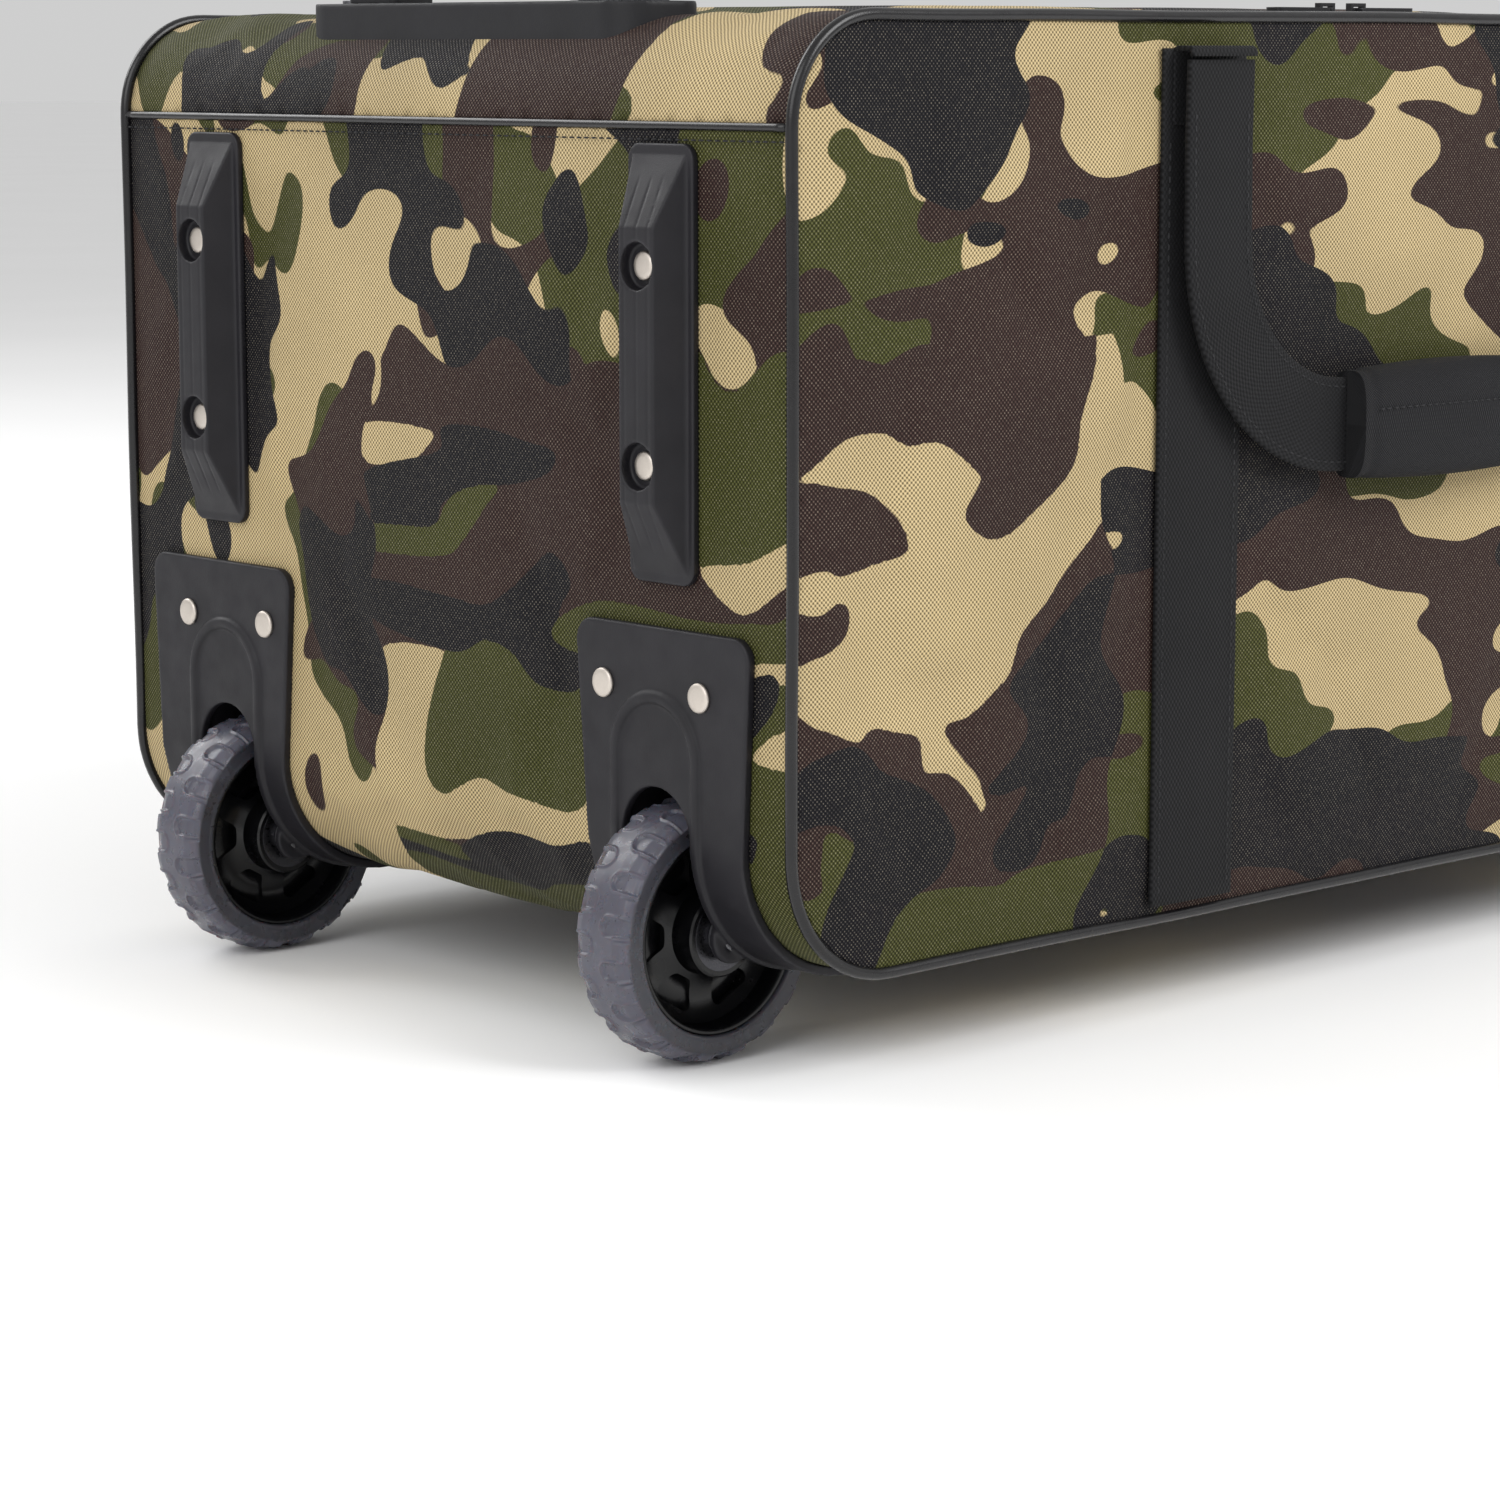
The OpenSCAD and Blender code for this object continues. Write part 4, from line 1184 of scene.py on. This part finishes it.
# Wheels

def tyre(side):
    """A tyre with outlined lugs across both shoulders and a smooth ring beside the rim."""
    sign = SIDES[side]
    rim_r, outer_r = 30.8, 39.5
    profile = np.array([(rim_r, -9), (rim_r, 9), (rim_r, 11.4), (31.4, 12), (32.2, 11.6), (36.2, 11.8),
                        (37.4, 11.2), (38.6, 9.8), (39.3, 7), (outer_r, 3), (outer_r, -3), (39.3, -7),
                        (38.6, -9.8), (37.4, -11.2), (36.2, -11.8), (32.2, -11.6), (31.4, -12),
                        (rim_r, -11.4)])
    ring = resample(profile, 0.5, True)
    lugs = 18
    turns = 720
    angle = np.linspace(0, 2 * np.pi, turns, endpoint=False)
    r = np.tile(ring[:, 0], (turns, 1))
    y = np.tile(ring[:, 1], (turns, 1))
    pitch = 2 * np.pi * outer_r / lugs
    shifted = angle[:, None] * lugs / (2 * np.pi) + np.where(y > 0, 0.5, 0.0)
    place = (shifted % 1 - 0.5) * pitch
    on_tread = ease(r, 36.6, 38.0)
    cap = np.hypot(place, np.minimum(np.abs(y) - 5.0, 0)) - 3.3
    recess = -0.7 * (1 - ease(cap, -0.7, -0.2))
    ridge = 0.5 * np.exp(-(cap / 0.4) ** 2)
    step = -1.3 * ((shifted + 0.15) % 1) ** 2 * ease(np.abs(y), 6.5, 11)
    r += on_tread * (recess + ridge) + ease(r, 36.0, 37.6) * step
    r = np.minimum(r, 40.0)
    verts = np.stack([WHEEL_X + r * MM * np.cos(angle)[:, None],
                      sign * WHEEL_Y + y * MM,
                      WHEEL_Z + r * MM * np.sin(angle)[:, None]], 2).reshape(-1, 3)
    count = len(ring)
    obj = mesh_object("tyre_" + side + "_moulded", verts, grid_faces(turns, count, True), materials["tyre"])
    outward(obj)
    shade = (1 - ease(np.broadcast_to(ring[:, 0], (turns, count)), 36.0, 37.2)).ravel()
    obj.data.attributes.new("ring", "FLOAT", "POINT").data.foreach_set("value", shade.astype(np.float32))
    return finish_piece(obj, "wheel_" + side, "tyre", "tyre_" + side)


def hub(side):
    """A dished disc with six blind pockets between its spokes, inside a rim barrel and round a boss."""
    sign = SIDES[side]
    centre = (WHEEL_X, sign * WHEEL_Y, WHEEL_Z)
    axis = (0, 1, 0)
    pockets = 6
    outer, inner = 28.8 * MM, 11.5 * MM

    def circle(r, step):
        turn = np.linspace(0, 2 * np.pi, max(24, int(2 * np.pi * r / step)), endpoint=False)
        return np.column_stack([r * np.cos(turn), r * np.sin(turn)])

    holes = [circle(inner, 1.6 * MM)]
    for k in range(pockets):
        middle = 2 * np.pi * k / pockets
        corners = []
        for r, spread in ((15.5 * MM, 0.22), (15.5 * MM, -0.22), (26 * MM, -0.36), (26 * MM, 0.36)):
            corners.append((r * np.cos(middle + spread), r * np.sin(middle + spread)))
        holes.append(fillet(corners, 2.2 * MM, 1.4 * MM))
    flat, faces = cut(circle(outer, 1.6 * MM), holes, 1.9 * MM)
    reach = np.hypot(flat[:, 0], flat[:, 1])
    dish = 5.5 * MM * ((reach - inner) / (outer - inner) - 0.5) ** 2 * 4
    count = len(flat)
    both = []
    for s in (-1, 1):
        both.append(np.column_stack([flat[:, 0], s * (2.0 * MM + dish * 0.6), flat[:, 1]]))
    verts = np.vstack(both) + np.array(centre)
    pairs = {e for f in faces for e in ((f[0], f[1]), (f[1], f[2]), (f[2], f[0]))}
    walls = [(a, b, b + count, a + count) for a, b in pairs if (b, a) not in pairs]
    all_faces = [tuple(f) for f in faces] + [tuple(i + count for i in f[::-1]) for f in faces] + walls
    disc = mesh_object("hub_disc_" + side, verts, all_faces, materials["hub"])
    outward(disc)
    disc.data.set_sharp_from_angle(angle=0.7)
    barrel = lathe("hub_rim_" + side, np.array([
        (28.6, -10), (30.1, -11.2), (30.75, -10.6), (30.75, 10.6), (30.1, 11.2), (28.6, 10),
        (27.9, 4), (27.9, -4)
    ]) * MM, centre, axis, materials["hub"], 96, closed=True)
    boss = lathe("hub_boss_" + side, np.array([
        (11.0, -12.4), (12.4, -12.4), (13, -11.8), (13.2, -4), (12.4, -2), (12.4, 2), (13.2, 4), (13, 11.8),
        (12.4, 12.4), (11.0, 12.4), (11.0, 5.4), (7.5, 5.4), (7.5, -5.4), (11.0, -5.4)
    ]) * MM, centre, axis, materials["hub"], 64, closed=True)
    boss.data.set_sharp_from_angle(angle=0.7)
    web = lathe("hub_web_" + side, np.array([(11.0, -1), (28.6, -1), (28.6, 1), (11.0, 1)]) * MM,
                centre, axis, materials["hub"], 96, closed=True)
    whole = join("wheel_hub_" + side, [disc, barrel, boss, web])
    return finish_piece(whole, "wheel_" + side, "hub", "hub_" + side)


def rivet_heads(name, node, r):
    """Low domed heads with a thin turned edge, where the CAD's rivets sit."""
    heads = []
    for k, (low, high) in enumerate(solids_of(node)):
        centre = (low[0], (low[1] + high[1]) / 2, (low[2] + high[2]) / 2)
        profile = np.array([(0.01, 0.02), (r * 0.6, 0.05), (r * 0.88, 0.18), (r * 0.97, 0.5), (r, 0.9),
                            (r * 0.98, 1.35), (2, 1.4), (2, 7), (2.6, 8), (0.01, 8)])
        heads.append(lathe(f"{name}_{k}", profile * MM, centre, (1, 0, 0), materials["rivet"], 40))
    whole = join(name, heads)
    return finish_piece(whole, "bag", "rivet", node)


def make_hard_parts():
    for side in SIDES:
        tyre(side)
        hub(side)
        housing = soft_edged("housing_" + side, "wheel_housing_" + side, 0.6 * MM, 2, materials["housing"])
        finish_piece(housing, "bag", "housing", "wheel_housing_" + side)
        rail = soft_edged("rail_" + side, "skid_rail_" + side, 0.45 * MM, 2, materials["rail"])
        finish_piece(rail, "bag", "rail", "skid_rail_" + side)
        foot = soft_edged("moulded_foot_" + side, "foot_" + side, 0.9 * MM, 4, materials["foot"])
        finish_piece(foot, "bag", "foot", "foot_" + side)
    rivet_heads("plate_rivet_heads", "housing_rivets", 4.5)
    rivet_heads("rail_rivet_heads", "rail_rivets", 4.3)
    bezel = soft_edged("moulded_bezel", "handle_bezel", 0.6 * MM, 4, materials["bezel"])
    finish_piece(bezel, "bag", "bezel", "handle_bezel")
    grip = soft_edged("moulded_grip", "grip", 0.7 * MM, 5, materials["grip"])
    finish_piece(grip, "stage_3", "grip", "grip")


# Straps

def sewn_webbing(side):
    sign = SIDES[side]
    low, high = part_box("webbing_" + side)
    fold_z = high.z - 2 * MM
    fold_y = abs(low.y if sign < 0 else high.y) - 2 * MM
    width = (38 if side == "front" else 30) * MM
    loop_w = 30 * MM
    for end, s in (("left", -1), ("right", 1)):
        x = s * STRAP_X
        face = SIDE_Y + 1.2 * MM
        strip = resample([(x, sign * face, low.z), (x, sign * face, fold_z + 1 * MM)], 4 * MM, False)
        strap = sweep(f"sewn_strap_{side}_{end}", strip, (1, 0, 0), strip_profile(width, 1.8 * MM),
                      materials["webbing"])
        near_y = sign * (face + 0.6 * MM)
        out_y = sign * (fold_y + 1.2 * MM)
        crest = fold_z + 1 * MM
        fold = fillet([(x, near_y, fold_z - 22 * MM), (x, near_y, crest), (x, out_y, crest),
                       (x, out_y, fold_z - 1.4 * MM)], 1.2 * MM, 1 * MM, closed=False)
        tab = sweep(f"strap_fold_{side}_{end}", fold, (1, 0, 0), strip_profile(loop_w, 1.6 * MM),
                    materials["webbing"])
        whole = join(f"sewn_webbing_{side}_{end}", [strap, tab])
        finish_piece(whole, "bag", "webbing", *(["webbing_" + side] if end == "left" else []))
        inset = width / 2 - 3 * MM
        top = sign * (face + 0.95 * MM)
        for k, offset in enumerate((-inset, inset)):
            line = [(x + offset, top, low.z + 4 * MM), (x + offset, top, fold_z - 26 * MM)]
            stitches(f"strap_stitches_{side}_{end}_{k}", line, (0, sign, 0), "bag")


def carry_handle(side):
    """The hanging loop: two legs and the bends between them, webbing lying flat against the bag."""
    sign = SIDES[side]
    low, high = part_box("carry_handle_" + side)
    y = (low.y + high.y) / 2
    bottom = low.z + 15 * MM
    path = fillet([(-STRAP_X, y, high.z), (-STRAP_X, y, bottom), (STRAP_X, y, bottom), (STRAP_X, y, high.z)],
                  60 * MM, 4 * MM, closed=False)
    ripple = waves(path[:, [0, 2]] * 1000, 810 + sign, 120, 50, 10) * 0.25 * MM
    path[:, 1] += ripple * np.clip((high.z - path[:, 2]) / (30 * MM), 0, 1)
    tangent = np.gradient(path, axis=0)
    across = np.cross(tangent, (0, 1, 0))
    loop = sweep("handle_loop_" + side, path, across, strip_profile(30 * MM, 2.4 * MM), materials["webbing"])
    finish_piece(loop, "handle_" + side, "webbing", "carry_handle_" + side)
    across /= np.linalg.norm(across, axis=1)[:, None]
    skip = 4
    for k, offset in enumerate((-12 * MM, 12 * MM)):
        line = path[skip:-skip] + across[skip:-skip] * offset + np.array((0, sign * 1.25 * MM, 0))
        stitches(f"loop_stitches_{side}_{k}", line, (0, sign, 0), "handle_" + side)


def handle_wrap():
    """A padded sleeve round the front handle's lowest stretch, with a closing seam and bound ends."""
    low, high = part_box("handle_wrap")
    middle = (low + high) / 2
    half = Vector((high.x - middle.x, high.y - middle.y, high.z - middle.z))
    turns, rings = 64, 49
    verts = []
    turn = np.linspace(0, 2 * np.pi, turns, endpoint=False)
    power = 0.62
    for t in np.linspace(-1, 1, rings):
        crown = 0.9 + 0.1 * np.cos(t * np.pi / 2)
        bound = 0.05 * np.exp(-((abs(t) - 0.9) / 0.03) ** 2)
        size = crown - bound
        y = middle.y + half.y * size * np.sign(np.cos(turn)) * np.abs(np.cos(turn)) ** power
        z = middle.z + half.z * size * np.sign(np.sin(turn)) * np.abs(np.sin(turn)) ** power
        verts += [(middle.x + half.x * t, a, b) for a, b in zip(y, z)]
    faces = grid_faces(rings, turns)
    faces += [tuple(range(turns - 1, -1, -1)), tuple(range((rings - 1) * turns, rings * turns))]
    wrap = mesh_object("handle_sleeve", verts, faces, materials["wrap"])
    outward(wrap)
    cloth_uv(wrap, np.array([(v[0], (i % turns) * 1.7 * MM) for i, v in enumerate(verts)]))
    wrap.data.set_sharp_from_angle(angle=1.2)
    finish_piece(wrap, "handle_front", "wrap", "handle_wrap")
    seam_y, seam_z = low.y - 0.1 * MM, middle.z + 5 * MM
    line = [(low.x + 6 * MM, seam_y, seam_z), (high.x - 6 * MM, seam_y, seam_z)]
    stitches("sleeve_stitches", line, (0, -1, 0), "handle_front")


def grab_strap():
    low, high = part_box("grab_strap")
    z = (low.z + high.z) / 2
    x0, x1 = low.x + 1.5 * MM, high.x - 1.5 * MM
    path = fillet([(x0, low.y, z), (x0, -66 * MM, z), (x1, -36 * MM, z), (x1, 36 * MM, z), (x0, 66 * MM, z),
                   (x0, high.y, z)], 18 * MM, 3 * MM, closed=False)
    strap = sweep("grab_strap_webbing", path, (0, 0, 1), strip_profile(30 * MM, 2.4 * MM),
                  materials["webbing"])
    finish_piece(strap, "bag", "webbing", "grab_strap")
    for k, y in enumerate((low.y + 5 * MM, -70 * MM, 70 * MM, high.y - 5 * MM)):
        line = [(x0 + 1.3 * MM, y, low.z + 3 * MM), (x0 + 1.3 * MM, y, high.z - 3 * MM)]
        stitches(f"grab_strap_tack_{k}", line, (1, 0, 0), "bag")


def quilted_cover():
    """Quilted lining in front of the handle tubes, inside the bag."""
    low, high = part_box("handle_cover")
    outline = rectangle(low.y, high.y, low.z, high.z, CELL)
    flat, faces = cut(outline, [], CELL)
    a = flat @ (1, 1) / (40 * MM)
    b = flat @ (1, -1) / (40 * MM)
    pillow = np.abs(np.sin(np.pi * a) * np.sin(np.pi * b)) ** 0.5
    verts = np.column_stack([low.x + 0.3 * MM + pillow * 1.5 * MM, flat])
    quilt = mesh_object("quilted_lining", verts, faces, materials["lining"])
    cloth_uv(quilt, flat)
    finer = quilt.modifiers.new("finer", "SUBSURF")
    finer.levels = 1
    finer.render_levels = 1
    thick = quilt.modifiers.new("thick", "SOLIDIFY")
    thick.thickness = 0.8 * MM
    keep_result(quilt)
    quilt.data.shade_smooth()
    finish_piece(quilt, "bag", "lining", "handle_cover")


def make_straps():
    for side in SIDES:
        sewn_webbing(side)
        carry_handle(side)
    handle_wrap()
    grab_strap()
    quilted_cover()


def hem_stitches():
    """Stitching round the opening and the lid's edge, and a piping cord along the pocket's seam."""
    z = TOP_Z + 0.25 * MM
    line = opening_line(-3 * MM, 3 * MM, False)
    stitches("opening_stitches", np.column_stack([line, np.full(len(line), z)]), (0, 0, 1), "bag")
    line = opening_line(22 * MM + 3 * MM, 3 * MM, False)[2:-2]
    stitches("lid_stitches", np.column_stack([line, np.full(len(line), z)]), (0, 0, 1), "lid")
    x0, x1, z0, z1 = pocket_low.x, pocket_high.x, pocket_low.z, pocket_high.z
    loop = fillet([(x0, z0), (x0, z1), (x1, z1), (x1, z0)], 14 * MM, 3 * MM)
    path = np.column_stack([loop[:, 0], np.full(len(loop), pocket_low.y + 1.2 * MM), loop[:, 1]])
    bead("pocket_piping", path, 1.5 * MM, materials["piping"], "bag", "piping")


def dress_cad_nodes():
    """The record's slots, as materials, on every CAD node that still shows."""
    slots = {row["node"]: row["material_slot"] for row in frame["record"]["subparts"]}
    for name, obj in frame["nodes"].items():
        obj.data.materials.clear()
        obj.data.materials.append(materials[slots[name]])


make_camera()
make_studio()
materials = make_materials()
make_shell()
make_piping()
make_zips()
make_hard_parts()
make_straps()
hem_stitches()
dress_cad_nodes()
